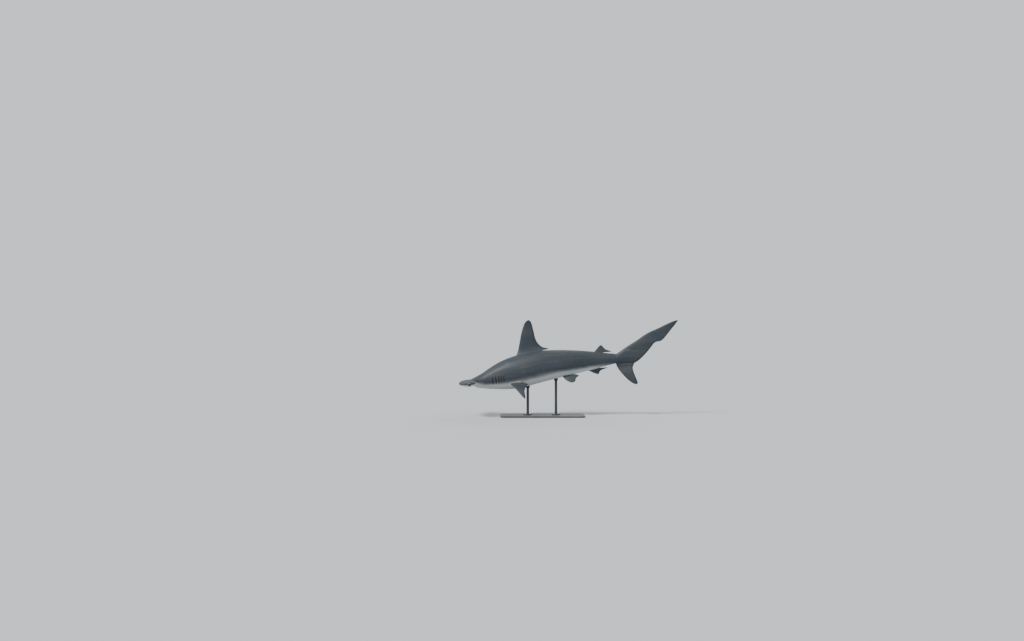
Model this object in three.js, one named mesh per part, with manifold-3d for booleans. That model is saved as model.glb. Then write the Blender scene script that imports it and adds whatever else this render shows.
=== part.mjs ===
// A life-size scalloped hammerhead shark, swimming slightly nose down, on a plain display stand.
// Millimetres, +Z up. The nose points to -X and the shark's left side to -Y. The origin is the
// middle of the stand's underside, on the floor.
//
// Outlines are given the way anatomists give them, in per cent of the shark's total length:
// "station" runs from the snout backwards, "height" is above or below the body's axis and
// "side" is out from the midline. Everything is shaped on a straight body first. The bend of
// the swimming body is then given to each vertex, and the group tips the whole shark nose down.
import * as THREE from "three";
import { LoftGeometry } from "three/addons/geometries/LoftGeometry.js";
import { mergeVertices } from "three/addons/utils/BufferGeometryUtils.js";
import Module from "manifold-3d";

const wasm = await Module();
wasm.setup();

// Driving dimensions
const TOTAL_LENGTH = 2500; // snout to tail tip, with the tail laid straight
const PER_CENT = TOTAL_LENGTH / 100;
const GAP = 0.4; // between pieces that touch
const NOSE_DOWN = THREE.MathUtils.degToRad(9);
const AXIS_HEIGHT = 500; // of the body's axis over the floor, above the middle of the stand
const STAND_STATION = 37; // the station that is above the middle of the stand

// The bend of a slow tail beat: a wave that grows towards the tail
const BEND_SIZE = 5;
const BEND_WAVES = 0.85;
const BEND_START = 1.2; // radians

// Head and hammer
const HAMMER_REACH = 13.5; // midline to the outer end of each lobe
const LOBE_TIP_START = 0.84; // share of the reach where the rounded end begins
const EYE_RADIUS = 17;
const EYE_STATION = 5.15;
const EYE_SIDE = 13.0;
const EYE_HEIGHT = -0.42;
const LID_TUBE = 3.2;
const MOUTH_FRONT = 6.9; // station of the middle of the mouth's arch
const MOUTH_DEPTH = 3.3; // how far back the corners lie
const MOUTH_HALF_WIDTH = 2.95;
const NOSTRIL_SHARE = 0.85; // of the hammer's reach
const GROOVE_START = 0.45;
const GROOVE_RADIUS = 0.16;

// Where the body is parted into head, neck, torso and tail
const HEAD_START = 2.5;
const NECK_START = 13.2;
const TORSO_START = 20.7;
const TAIL_START = 44.4;
const TAIL_END = 70.3;

// Gills
const GILL_STATIONS = [15.0, 16.35, 17.6, 18.75, 19.8];
const GILL_HALF_HEIGHTS = [1.75, 1.9, 1.9, 1.75, 1.45];
const GILL_HEIGHT = -0.9;
const FLAP_LIFT = 0.17;
const SLIT_DEPTH = 0.34;

// Stand
const BASE_LENGTH = 920;
const BASE_WIDTH = 420;
const BASE_THICKNESS = 16;
const BASE_CORNER = 60;
const BASE_EDGE = 3; // chamfer along the base's edges
const ROD_STATIONS = { front: 30.5, rear: 43 };
const ROD_RADIUS = 15;
const FLANGE_RADIUS = 48;
const FLANGE_THICKNESS = 10;

// How finely the round forms are cut into faces
const BODY_COLUMNS = 40;
const HAMMER_COLUMNS = 24;
const FIN_COLUMNS = 20;

const clamp = THREE.MathUtils.clamp;
const bump = (x, middle, width) => Math.exp(-(((x - middle) / width) ** 2));
const steps = (from, to, count) => Array.from({ length: count + 1 }, (_, i) => from + ((to - from) * i) / count);
const power = (x, exponent) => Math.sign(x) * Math.abs(x) ** exponent;

// A smooth curve through rows of [x, value, value, ...]: cubic pieces, and the slope at a row
// is that of the chord between its two neighbours.
function through(rows, x) {
  let i = 0;
  while (i < rows.length - 2 && x > rows[i + 1][0]) i++;
  const [here, next] = [rows[i], rows[i + 1]];
  const before = rows[Math.max(i - 1, 0)];
  const after = rows[Math.min(i + 2, rows.length - 1)];
  const width = next[0] - here[0];
  const t = (x - here[0]) / width;
  return here.slice(1).map((value, k) => {
    const leaving = ((next[k + 1] - before[k + 1]) / (next[0] - before[0])) * width;
    const arriving = ((after[k + 1] - value) / (after[0] - here[0])) * width;
    return (
      ((2 * t - 3) * t * t + 1) * value +
      ((t - 2) * t + 1) * t * leaving +
      (3 - 2 * t) * t * t * next[k + 1] +
      (t - 1) * t * t * arriving
    );
  });
}

// Straight pieces through rows of [x, value], level beyond both ends.
function polyline(rows, x) {
  const i = clamp(rows.findIndex((row) => row[0] > x), 1, rows.length - 1);
  const [[x0, value0], [x1, value1]] = [rows[i - 1], rows[i]];
  return THREE.MathUtils.lerp(value0, value1, clamp((x - x0) / (x1 - x0), 0, 1));
}

// A closed body from a geometry, with its faces turned outwards.
function solid(geometry) {
  const bare = new THREE.BufferGeometry();
  bare.setAttribute("position", geometry.getAttribute("position"));
  bare.setIndex(geometry.index);
  const merged = mergeVertices(bare, 1e-3);
  const faces = [];
  const index = merged.index.array;
  for (let i = 0; i < index.length; i += 3) {
    const [a, b, c] = [index[i], index[i + 1], index[i + 2]];
    if (a !== b && b !== c && c !== a) faces.push(a, b, c);
  }
  const build = (triangles) =>
    new wasm.Manifold(
      new wasm.Mesh({
        numProp: 3,
        vertProperties: merged.attributes.position.array,
        triVerts: new Uint32Array(triangles),
      }),
    );
  const made = build(faces);
  return made.volume() > 0 ? made : build(faces.reverse());
}

// A closed body through sections. A loft faces outwards when its sections run anticlockwise,
// seen from its far end, so they are all turned round when they don't.
function loft(sections) {
  const [first, second] = sections;
  const normal = new THREE.Vector3();
  const along = new THREE.Vector3();
  first.forEach((point, i) => {
    normal.add(point.clone().sub(first[0]).cross(first[(i + 1) % first.length].clone().sub(first[0])));
    along.add(second[i]).sub(point);
  });
  const rings = normal.dot(along) > 0 ? sections : sections.map((ring) => [...ring].reverse());
  return solid(new LoftGeometry(rings, { capStart: true, capEnd: true }));
}

// A three.js geometry in place, as a closed body.
function placed(geometry, { position = [0, 0, 0], rotation = [0, 0, 0], scale = [1, 1, 1] } = {}) {
  const matrix = new THREE.Matrix4().compose(
    new THREE.Vector3(...position),
    new THREE.Quaternion().setFromEuler(new THREE.Euler(...rotation)),
    new THREE.Vector3(...scale),
  );
  return solid(geometry.clone().applyMatrix4(matrix));
}

// Body: rows of [station, height of the back, height of the belly, half width]
const BODY = [
  [2.5, 0.4, -0.6, 2.4],
  [4.5, 0.95, -1.1, 4.4],
  [6.5, 1.5, -2.1, 5.7],
  [7.8, 1.9, -2.75, 5.45],
  [9, 2.35, -3.25, 4.9],
  [11, 3.1, -3.85, 4.65],
  [13, 4.1, -4.3, 4.75],
  [17, 5.9, -5.1, 5.3],
  [21, 7.25, -5.75, 5.85],
  [25, 8.1, -6.05, 6.15],
  [30, 8.6, -5.7, 6.2],
  [36, 8.75, -5.05, 6.0],
  [43, 8.15, -4.4, 5.35],
  [50, 7.0, -3.85, 4.35],
  [57, 5.5, -3.25, 3.2],
  [63, 3.95, -2.65, 2.3],
  [68, 2.65, -2.15, 1.75],
  [72, 2.2, -2.0, 1.45],
];
const PIT_STATION = 69.9; // the notch on the back just before the tail fin
const PIT_DEPTH = 0.35;

// Flap and slit of the gills: rows of [station past the slit, share of the flap's lift]
const FLAP_SHAPE = [
  [-0.95, 0],
  [-0.14, 1],
  [0, -SLIT_DEPTH / FLAP_LIFT],
  [0.12, -SLIT_DEPTH / FLAP_LIFT],
  [0.3, 0],
];

// How far the skin stands out at the gills, at a station and a height.
function gillRelief(station, height) {
  return GILL_STATIONS.reduce((sum, slit, i) => {
    const up = (height - GILL_HEIGHT) / GILL_HALF_HEIGHTS[i];
    const window = Math.sqrt(Math.max(0, 1 - up * up));
    return sum + FLAP_LIFT * window * polyline(FLAP_SHAPE, station - slit);
  }, 0);
}

// One point of the body's skin: angle 0 is the right side and a quarter turn is the back.
// The belly is a little flatter than an ellipse. "grow" lifts the point off the skin.
function skin(station, angle, grow = 0) {
  const [back, belly, halfWidth] = through(BODY, station);
  const top = back - PIT_DEPTH * bump(station, PIT_STATION, 0.6);
  const middle = (top + belly) / 2;
  const [c, s] = [Math.cos(angle), Math.sin(angle)];
  const lift = grow / PER_CENT;
  const height = middle + (top - middle + lift) * s * (s > 0 ? 1 : 1 + 0.16 * (1 - s * s));
  const relief = Math.abs(c) * gillRelief(station, height);
  const side = (halfWidth + relief + lift) * power(c, 0.92);
  return new THREE.Vector3(station, side, height).multiplyScalar(PER_CENT);
}

function bodyRing(station, grow) {
  return steps(0, 2 * Math.PI, BODY_COLUMNS)
    .slice(0, -1)
    .map((angle) => skin(station, angle, grow));
}

const bodyLength = (stations, grow = 0) => loft(stations.map((station) => bodyRing(station, grow)));

// Height of the underside at a station and a distance out from the midline.
function underside(station, side) {
  const [back, belly, halfWidth] = through(BODY, station);
  const c = clamp(Math.abs(side) / halfWidth, 0, 1) ** (1 / 0.92);
  return (back + belly) / 2 - ((back - belly) / 2) * Math.sqrt(1 - c * c) * (1 + 0.16 * c * c);
}

// The hammer: its outline seen from above, its thickness and its droop, at a share of its reach
function hammerFront(share) {
  const arch = 3.4 * share ** 2.1;
  const middleNotch = 0.6 * bump(share, 0, 0.075);
  const innerNotch = 0.3 * bump(share, 0.37, 0.06);
  const nostrilNotch = 0.55 * bump(share, 0.79, 0.045);
  return arch + middleNotch + innerNotch + nostrilNotch;
}
const HAMMER_REAR = [
  [0, 8.0],
  [0.3, 7.75],
  [0.55, 7.35],
  [0.8, 7.7],
  [1, 8.5],
];
const HAMMER_THICKNESS = [
  [0, 2.5],
  [0.3, 2.3],
  [0.6, 1.9],
  [0.8, 1.85],
  [0.93, 2.15],
  [1, 2.2],
];
const hammerDroop = (share) => -0.5 * share ** 1.8;

// Sections across the hammer are like a wing's: blunt in front, thin behind.
function hammerSection(side) {
  const share = Math.abs(side) / HAMMER_REACH;
  const beyond = Math.max(0, (share - LOBE_TIP_START) / (1 - LOBE_TIP_START));
  const round = (1 - beyond ** 2.6) ** (1 / 2.6);
  const [front, rear] = [hammerFront(share), through(HAMMER_REAR, share)[0]];
  const middle = THREE.MathUtils.lerp(front, rear, 0.44);
  const half = (through(HAMMER_THICKNESS, share)[0] / 2) * round ** 0.7;
  return steps(0, 2 * Math.PI, HAMMER_COLUMNS)
    .slice(0, -1)
    .map((angle) => {
      const chord = (1 - Math.cos(angle)) / 2;
      const edge = THREE.MathUtils.lerp(front, rear, chord);
      const station = middle + (edge - middle) * round;
      const height = hammerDroop(share) + half * power(Math.sin(angle), 0.9) * (1.12 - 0.36 * chord);
      return new THREE.Vector3(station, side, height).multiplyScalar(PER_CENT);
    });
}

// Spanwise stations are closest at the notches and the rounded ends.
const HAMMER_SHARES = [
  0, 0.04, 0.08, 0.13, 0.2, 0.27, 0.32, 0.37, 0.42, 0.5, 0.6, 0.68, 0.73, 0.76, 0.79, 0.82, 0.86, 0.9, 0.935,
  0.962, 0.98, 0.99,
];
const hammer = loft(
  [...HAMMER_SHARES.slice(1).reverse().map((share) => -share), ...HAMMER_SHARES].map((share) =>
    hammerSection(share * HAMMER_REACH),
  ),
);

// The mouth: an arch across the underside, with rolled lips and a slit between them
function mouthArch(share) {
  const side = share * MOUTH_HALF_WIDTH;
  const station = MOUTH_FRONT + MOUTH_DEPTH * Math.abs(share) ** 2.1;
  return { station, side, height: underside(station, side) };
}
const mouthAlong = (sectionAt) => loft(steps(-1, 1, 18).map(sectionAt));
const lips = mouthAlong((share) => {
  const { station, side, height } = mouthArch(share);
  const fade = Math.sqrt(1.04 - share * share);
  return steps(0, 2 * Math.PI, 8)
    .slice(0, -1)
    .map((angle) =>
      new THREE.Vector3(
        station + 0.5 * fade * Math.cos(angle),
        side,
        height + 0.12 + 0.3 * fade * Math.sin(angle),
      ).multiplyScalar(PER_CENT),
    );
});
const mouthSlit = mouthAlong((share) => {
  const { station, side, height } = mouthArch(share * 0.97);
  return [
    [-0.14, -1],
    [0.1, -1],
    [0.24, 0.7],
    [0.08, 0.7],
  ].map(([back, up]) => new THREE.Vector3(station + back, side, height + up).multiplyScalar(PER_CENT));
});

// Both sides of a paired piece: -1 is the shark's left and +1 its right.
const SIDES = { left: -1, right: 1 };
const eyePlace = (side) => [EYE_STATION * PER_CENT, side * EYE_SIDE * PER_CENT, EYE_HEIGHT * PER_CENT];
const eyeBall = (side, radius) => placed(new THREE.SphereGeometry(radius, 16, 12), { position: eyePlace(side) });

function lid(side) {
  const [x, y, z] = eyePlace(side);
  return placed(new THREE.TorusGeometry(EYE_RADIUS - 1, LID_TUBE, 7, 24), {
    position: [x, y + side * 8.5, z],
    rotation: [Math.PI / 2, 0, 0],
  });
}

// The nostril, and the groove that runs inwards from it along the front edge
function groove(side) {
  return loft(
    steps(GROOVE_START, NOSTRIL_SHARE, 12).map((share) => {
      const radius = GROOVE_RADIUS * (0.4 + 0.6 * share ** 0.5);
      return steps(0, 2 * Math.PI, 6)
        .slice(0, -1)
        .map((angle) => {
          const station = hammerFront(share) + 0.07 + radius * Math.cos(angle);
          const height = hammerDroop(share) - 0.2 + radius * Math.sin(angle);
          return new THREE.Vector3(station, side * share * HAMMER_REACH, height).multiplyScalar(PER_CENT);
        });
    }),
  );
}

function nostril(side) {
  const station = hammerFront(NOSTRIL_SHARE) + 0.55;
  return placed(new THREE.SphereGeometry(1, 12, 8), {
    position: [station, side * NOSTRIL_SHARE * HAMMER_REACH, -1.12].map((x) => x * PER_CENT),
    rotation: [0, 0.5, side * 0.35],
    scale: [7, 15, 8],
  });
}

const HEAD_STATIONS = [HEAD_START, 4, 5, 6, 7, 8, 9, 10, 11.2, 12.2, NECK_START];
let head = hammer.add(bodyLength(HEAD_STATIONS)).add(lips).subtract(mouthSlit);
for (const side of Object.values(SIDES)) {
  head = head
    .add(lid(side))
    .subtract(groove(side))
    .subtract(nostril(side))
    .subtract(eyeBall(side, EYE_RADIUS + GAP));
}

// Neck, torso and tail, each a length of the same skin with a thin cut between
const cut = GAP / PER_CENT;
const GILL_RINGS = GILL_STATIONS.flatMap((slit) => [slit - 0.14, slit, slit + 0.12, slit + 0.3]);
const neck = bodyLength([NECK_START + cut, 13.7, 14.1, ...GILL_RINGS, 20.4, TORSO_START - cut]);
const torso = bodyLength([TORSO_START, ...steps(21.8, 43.2, 17), TAIL_START - cut]);
const tail = bodyLength([TAIL_START, ...steps(46, 68, 14), 69.2, 69.6, 69.9, TAIL_END]);

// The skin lifted by the gap, which the fins and rods are cut to
const lifted = bodyLength(steps(13, 72, 42), GAP);

// Fins. An outline is rows of [share of the span, front station, front height, rear station,
// rear height]. Sections between the two edges are like a wing's, and swell into the body.
const WING = (c) => 10 * (0.2969 * Math.sqrt(c) - 0.126 * c - 0.3516 * c ** 2 + 0.2843 * c ** 3 - 0.1015 * c ** 4);

function finSection(outline, share, { root, tip, swell = 1, blend = 0.12, oval = 0 }, place, grow = 0) {
  const [frontStation, frontHeight, rearStation, rearHeight] = through(outline, share);
  const half = root + (tip - root) * Math.max(share, 0) ** 0.75;
  const nearRoot = Math.exp(-Math.max(share, 0) / blend);
  const base = swell * root * nearRoot;
  const front = new THREE.Vector2(frontStation, frontHeight).multiplyScalar(PER_CENT);
  const rear = new THREE.Vector2(rearStation, rearHeight).multiplyScalar(PER_CENT);
  const beyond = rear.clone().sub(front).normalize().multiplyScalar(grow);
  front.sub(beyond);
  rear.add(beyond);
  return steps(0, 2 * Math.PI, FIN_COLUMNS)
    .slice(0, -1)
    .map((angle) => {
      const chord = (1 - Math.cos(angle)) / 2;
      const at = front.clone().lerp(rear, chord);
      const ovalProfile = Math.abs(Math.sin(angle));
      const profile = THREE.MathUtils.lerp(WING(chord), ovalProfile, oval * nearRoot);
      const out = ((half + base) * profile + grow) * Math.sign(Math.sin(angle));
      return place(at, ovalProfile < 1e-9 ? 0 : out);
    });
}

function fin(outline, count, thickness, place, grow) {
  const last = outline.at(-1)[0];
  return loft(steps(outline[0][0], last, count).map((share) => finSection(outline, share, thickness, place, grow)));
}

// Upright fins stand on the midline.
const upright = (at, out) => new THREE.Vector3(at.x, out, at.y);

const FIRST_DORSAL = [
  [-0.14, 26.2, 5.9, 37.6, 6.2],
  [0, 26.7, 8.1, 37.4, 8.5],
  [0.07, 27.5, 9.7, 41.4, 8.95],
  [0.15, 28.2, 11.4, 38.6, 10.1],
  [0.3, 29.1, 14.0, 36.5, 13.0],
  [0.6, 30.7, 18.3, 35.9, 17.6],
  [0.85, 32.3, 21.4, 35.6, 20.9],
  [0.96, 33.5, 22.6, 35.2, 22.2],
  [1, 34.0, 22.85, 34.9, 22.7],
];
const SECOND_DORSAL = [
  [-0.3, 60.6, 2.6, 64.4, 1.8],
  [0, 60.7, 4.5, 64.2, 3.5],
  [0.22, 61.4, 5.15, 68.4, 3.35],
  [0.5, 62.3, 5.9, 66.0, 4.7],
  [0.8, 63.3, 6.7, 64.8, 6.25],
  [1, 63.9, 7.0, 64.4, 6.85],
];
const ANAL = [
  [-0.3, 56.6, -1.6, 62.0, -0.9],
  [0, 56.7, -3.0, 61.7, -2.6],
  [0.2, 57.6, -3.7, 65.8, -3.2],
  [0.5, 58.8, -4.5, 62.6, -3.9],
  [0.8, 60.1, -5.2, 61.5, -4.95],
  [1, 60.8, -5.5, 61.3, -5.4],
];
const UPPER_LOBE = [
  [0, 70.35, 2.1, 70.35, -2.05],
  [0.08, 72.2, 3.1, 73.6, -2.6],
  [0.2, 75.2, 4.6, 77.5, -3.0],
  [0.36, 79.6, 6.55, 81.4, -0.8],
  [0.5, 83.5, 8.5, 84.7, 2.0],
  [0.6, 86.4, 9.6, 87.4, 4.5],
  [0.68, 88.9, 10.25, 90.3, 4.9],
  [0.85, 94.1, 11.9, 94.9, 9.0],
  [0.97, 97.5, 12.75, 98.0, 11.9],
  [1, 98.2, 12.8, 98.5, 12.4],
];
const LOWER_LOBE = [
  [-0.18, 69.4, -0.6, 76.6, 0.6],
  [0, 69.3, -2.3, 77.2, -2.4],
  [0.25, 69.9, -4.4, 76.3, -5.0],
  [0.5, 71.3, -6.9, 76.5, -7.4],
  [0.8, 73.7, -10.3, 77.2, -10.4],
  [0.95, 75.6, -12.0, 77.5, -11.9],
  [1, 76.5, -12.5, 77.2, -12.4],
];
const STALK = { root: 22, tip: 3, swell: 0.75, blend: 0.2, oval: 1 };
const upperLobe = fin(UPPER_LOBE, 24, STALK, upright);
const upperLobeLifted = fin(UPPER_LOBE, 24, STALK, upright, GAP);

// Paired fins lie out sideways: an outline's height is there the distance along the span.
// The fin bends downwards along it from "droop" to "droop" plus "bow", in radians.
function sideways({ side, rootSide, rootHeight, droop, bow, span, tilt }) {
  return (at, out) => {
    const share = at.y / (span * PER_CENT);
    const angle = droop + (bow * share) / 2;
    const below = droop + bow * share;
    const away = rootSide * PER_CENT + at.y * Math.cos(angle) + out * Math.sin(below);
    const height = rootHeight * PER_CENT - at.y * Math.sin(angle) + out * Math.cos(below);
    return new THREE.Vector3(at.x, side * away, height - tilt * (at.x - 24 * PER_CENT));
  };
}

const PECTORAL = [
  [-0.2, 21.9, -2.4, 26.3, -2.4],
  [0, 21.9, 0, 26.6, 0],
  [0.12, 22.6, 1.5, 29.0, 1.3],
  [0.2, 23.0, 2.5, 29.6, 2.2],
  [0.32, 23.6, 4.0, 28.6, 3.9],
  [0.6, 24.9, 7.4, 27.6, 7.3],
  [0.85, 26.1, 10.3, 27.5, 10.2],
  [0.96, 26.8, 11.7, 27.4, 11.6],
  [1, 27.1, 12.0, 27.4, 11.95],
];
const PELVIC = [
  [-0.4, 45.0, -1.7, 48.9, -1.7],
  [0, 44.9, 0, 49.2, 0],
  [0.3, 45.7, 1.35, 52.4, 1.1],
  [0.55, 46.4, 2.5, 50.8, 2.25],
  [0.85, 47.4, 3.7, 50.2, 3.6],
  [1, 48.2, 4.2, 49.6, 4.15],
];
const pectoralPlace = { rootSide: 4.9, rootHeight: -3.4, droop: 0.36, bow: 0.4, span: 12, tilt: 0.05 };
const pelvicPlace = { rootSide: 2.2, rootHeight: -3.5, droop: 0.95, bow: 0.1, span: 4.2, tilt: 0 };

const pieces = {
  head,
  neck,
  torso,
  tail,
  dorsal_fin_first: fin(FIRST_DORSAL, 18, { root: 15, tip: 2.5 }, upright).subtract(lifted),
  dorsal_fin_second: fin(SECOND_DORSAL, 9, { root: 5, tip: 1.6 }, upright).subtract(lifted),
  anal_fin: fin(ANAL, 9, { root: 6, tip: 1.8 }, upright).subtract(lifted),
  caudal_fin_upper: upperLobe,
  caudal_fin_lower: fin(LOWER_LOBE, 12, { root: 9, tip: 2.5, swell: 0.4 }, upright)
    .subtract(upperLobeLifted)
    .subtract(bodyLength(steps(66, TAIL_END, 8), GAP)),
};
for (const [name, side] of Object.entries(SIDES)) {
  pieces[`eye_${name}`] = eyeBall(side, EYE_RADIUS);
  const pectoral = fin(PECTORAL, 18, { root: 12, tip: 2.5 }, sideways({ side, ...pectoralPlace }));
  pieces[`pectoral_fin_${name}`] = pectoral.subtract(lifted);
  const pelvic = fin(PELVIC, 9, { root: 7, tip: 1.8 }, sideways({ side, ...pelvicPlace }));
  pieces[`pelvic_fin_${name}`] = pelvic.subtract(lifted);
}

// The bent midline: how far it lies to the right at a station, and its slope
function midline(station) {
  const share = station / 100;
  const phase = 2 * Math.PI * BEND_WAVES * share - BEND_START;
  const offset = BEND_SIZE * share ** 2 * Math.sin(phase) * PER_CENT;
  const slope =
    (BEND_SIZE * (2 * share * Math.sin(phase) + share ** 2 * 2 * Math.PI * BEND_WAVES * Math.cos(phase))) / 100;
  return { offset, slope };
}

// Moves each vertex of a straight body to its place on the bent one.
function bend(position) {
  for (let i = 0; i < position.count; i++) {
    const [x, y] = [position.getX(i), position.getY(i)];
    const { offset, slope } = midline(x / PER_CENT);
    const across = y / Math.hypot(1, slope);
    position.setXY(i, x - slope * across, offset + across);
  }
}

function geometryOf(manifold) {
  const bodies = manifold.decompose().sort((a, b) => b.volume() - a.volume());
  const mesh = bodies[0].getMesh();
  const points = new Float32Array(mesh.numVert * 3);
  for (let i = 0; i < mesh.numVert; i++) {
    points.set(mesh.vertProperties.subarray(i * mesh.numProp, i * mesh.numProp + 3), i * 3);
  }
  return new THREE.BufferGeometry()
    .setAttribute("position", new THREE.BufferAttribute(points, 3))
    .setIndex(new THREE.BufferAttribute(mesh.triVerts, 1));
}

function bentGeometry(manifold) {
  const geometry = geometryOf(manifold);
  bend(geometry.attributes.position);
  geometry.computeVertexNormals();
  return geometry;
}

const hide = new THREE.MeshStandardMaterial({ color: 0x5e666b, roughness: 0.5 });
const eyeGloss = new THREE.MeshStandardMaterial({ color: 0x16181a, roughness: 0.08 });
const steel = new THREE.MeshStandardMaterial({ color: 0x2b2d30, roughness: 0.45, metalness: 0.6 });

function named(name, geometry, material) {
  const mesh = new THREE.Mesh(geometry, material);
  mesh.name = name;
  return mesh;
}

// The shark, tipped nose down about the station over the stand
const shark = new THREE.Group();
shark.rotation.y = -NOSE_DOWN;
const pivot = new THREE.Vector3(STAND_STATION * PER_CENT, 0, 0).applyEuler(shark.rotation);
shark.position.set(-pivot.x, 0, AXIS_HEIGHT - pivot.z);
shark.updateMatrixWorld();
for (const [name, manifold] of Object.entries(pieces)) {
  shark.add(named(name, bentGeometry(manifold), name.startsWith("eye") ? eyeGloss : hide));
}

// The stand: a flat steel base with two rods, their tops cut to the belly
function roundedPlate(length, width, corner) {
  const [x, y] = [length / 2, width / 2];
  const shape = new THREE.Shape();
  shape.absarc(x - corner, y - corner, corner, 0, Math.PI / 2);
  shape.absarc(corner - x, y - corner, corner, Math.PI / 2, Math.PI);
  shape.absarc(corner - x, corner - y, corner, Math.PI, 1.5 * Math.PI);
  shape.absarc(x - corner, corner - y, corner, 1.5 * Math.PI, 2 * Math.PI);
  return shape;
}

const plate = new THREE.ExtrudeGeometry(roundedPlate(BASE_LENGTH, BASE_WIDTH, BASE_CORNER), {
  depth: BASE_THICKNESS - 2 * BASE_EDGE,
  bevelThickness: BASE_EDGE,
  bevelSize: BASE_EDGE,
  bevelOffset: -BASE_EDGE,
  bevelSegments: 1,
  curveSegments: 8,
}).translate(0, 0, BASE_EDGE);

const standing = bentGeometry(lifted).applyMatrix4(shark.matrixWorld);
function rod(station) {
  const { offset } = midline(station);
  const foot = new THREE.Vector3(station * PER_CENT, 0, 0).applyMatrix4(shark.matrixWorld);
  const outline = [
    [0, 0],
    [FLANGE_RADIUS, 0],
    [FLANGE_RADIUS, FLANGE_THICKNESS - 2],
    [FLANGE_RADIUS - 2, FLANGE_THICKNESS],
    [ROD_RADIUS, FLANGE_THICKNESS],
    [ROD_RADIUS, foot.z],
    [0, foot.z],
  ].map(([r, z]) => new THREE.Vector2(r, z));
  const turned = placed(new THREE.LatheGeometry(outline, 32), {
    position: [foot.x, offset, BASE_THICKNESS + GAP],
    rotation: [Math.PI / 2, 0, 0],
  });
  return geometryOf(turned.subtract(solid(standing)));
}

const object = new THREE.Group();
object.add(shark, named("stand_base", geometryOf(solid(plate)), steel));
for (const [name, station] of Object.entries(ROD_STATIONS)) {
  object.add(named(`stand_rod_${name}`, rod(station), steel));
}

export default object;
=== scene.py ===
# %% [markdown]
# A scalloped hammerhead on its stand
#
# This lesson dresses a packed CAD model of a life-size shark. The CAD model has a head, a neck,
# a torso, a tail and each fin as solids of their own. A live shark shows no seams, so one smooth
# skin takes their place here. The eyes are made anew, and the stand keeps its CAD shape.

import math

import bmesh
import bpy
import numpy as np
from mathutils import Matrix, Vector


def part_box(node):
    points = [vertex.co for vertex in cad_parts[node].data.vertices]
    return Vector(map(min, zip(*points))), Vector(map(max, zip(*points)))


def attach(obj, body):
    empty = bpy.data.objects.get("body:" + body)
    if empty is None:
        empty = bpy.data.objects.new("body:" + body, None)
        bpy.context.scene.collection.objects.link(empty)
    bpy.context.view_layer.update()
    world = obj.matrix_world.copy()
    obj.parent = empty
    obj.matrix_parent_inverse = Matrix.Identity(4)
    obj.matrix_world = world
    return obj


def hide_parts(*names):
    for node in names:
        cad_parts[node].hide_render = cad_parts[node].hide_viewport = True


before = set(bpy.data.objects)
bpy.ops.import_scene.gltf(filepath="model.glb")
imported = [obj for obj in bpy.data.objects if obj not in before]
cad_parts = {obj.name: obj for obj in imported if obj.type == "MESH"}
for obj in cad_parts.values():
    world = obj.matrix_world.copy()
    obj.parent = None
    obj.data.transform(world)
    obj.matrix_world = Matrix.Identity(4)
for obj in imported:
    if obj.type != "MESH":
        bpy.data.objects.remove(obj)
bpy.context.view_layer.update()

# %% [markdown]
# Measures
#
# Anatomists give a shark's outline in per cent of its total length, so this script does too.
# *Station* runs from the snout backwards, *side* is out from the midline (positive on the
# shark's right) and *height* is above the body's axis. The body is shaped straight and level
# first, because every formula is simple there, and is bent and tipped at the very end.

# %% Size of the whole animal
TOTAL_LENGTH = 2.5  # metres
PER_CENT = TOTAL_LENGTH / 100
MM_PER_CENT = PER_CENT * 1000
print("one per cent is", MM_PER_CENT, "mm")

# %% Small helpers for curves


def through(rows, x):
    """Smooth curve through rows of (x, value, ...). Each stretch is a cubic, and its slope at a
    row is the slope of the chord between that row's two neighbours."""
    rows = np.array(rows, float)
    x = np.asarray(x, float)
    knots, values = rows[:, 0], rows[:, 1:]
    slopes = np.gradient(values, knots, axis=0)
    slopes[1:-1] = (values[2:] - values[:-2]) / (knots[2:] - knots[:-2])[:, None]
    i = np.clip(np.searchsorted(knots, x) - 1, 0, len(knots) - 2)
    width = (knots[i + 1] - knots[i])[..., None]
    t = (x - knots[i])[..., None] / width
    return (
        ((2 * t - 3) * t * t + 1) * values[i]
        + ((t - 2) * t + 1) * t * slopes[i] * width
        + (3 - 2 * t) * t * t * values[i + 1]
        + (t - 1) * t * t * slopes[i + 1] * width
    )


def bump(x, middle, width):
    """A bell curve: e to the minus square of the distance from the middle over the width."""
    return np.exp(-(((x - middle) / width) ** 2))


def ridge(x, middle, width, height):
    """A bell curve of a height, or a dent where the height is below 0."""
    return height * bump(x, middle, width)


def plateau(x, middle, width):
    """A bell curve with a flatter top: the fourth power takes the place of the square."""
    return np.exp(-(((x - middle) / width) ** 4))


def ease(x, start, end):
    """0 before start, 1 after end, and a smooth S between them."""
    t = np.clip((x - start) / (end - start), 0, 1)
    return t * t * (3 - 2 * t)


def power(x, exponent):
    """The size of x to a power, with the sign of x."""
    return np.sign(x) * np.abs(x) ** exponent


def full_turn(columns):
    """The angles of columns that are spread evenly round a full turn."""
    return 2 * np.pi * np.arange(columns) / columns


print("a quarter of the way along, the S is", ease(0.25, 0, 1), "high")

# %% [markdown]
# The body as a function of two parameters
#
# A shark's trunk is close to an ellipse in section. Its back, belly and width change smoothly
# along it, so three curves over the station say nearly everything. A sculpted mesh would look
# as good, but a formula is easier to measure against a photograph and to correct.

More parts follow.
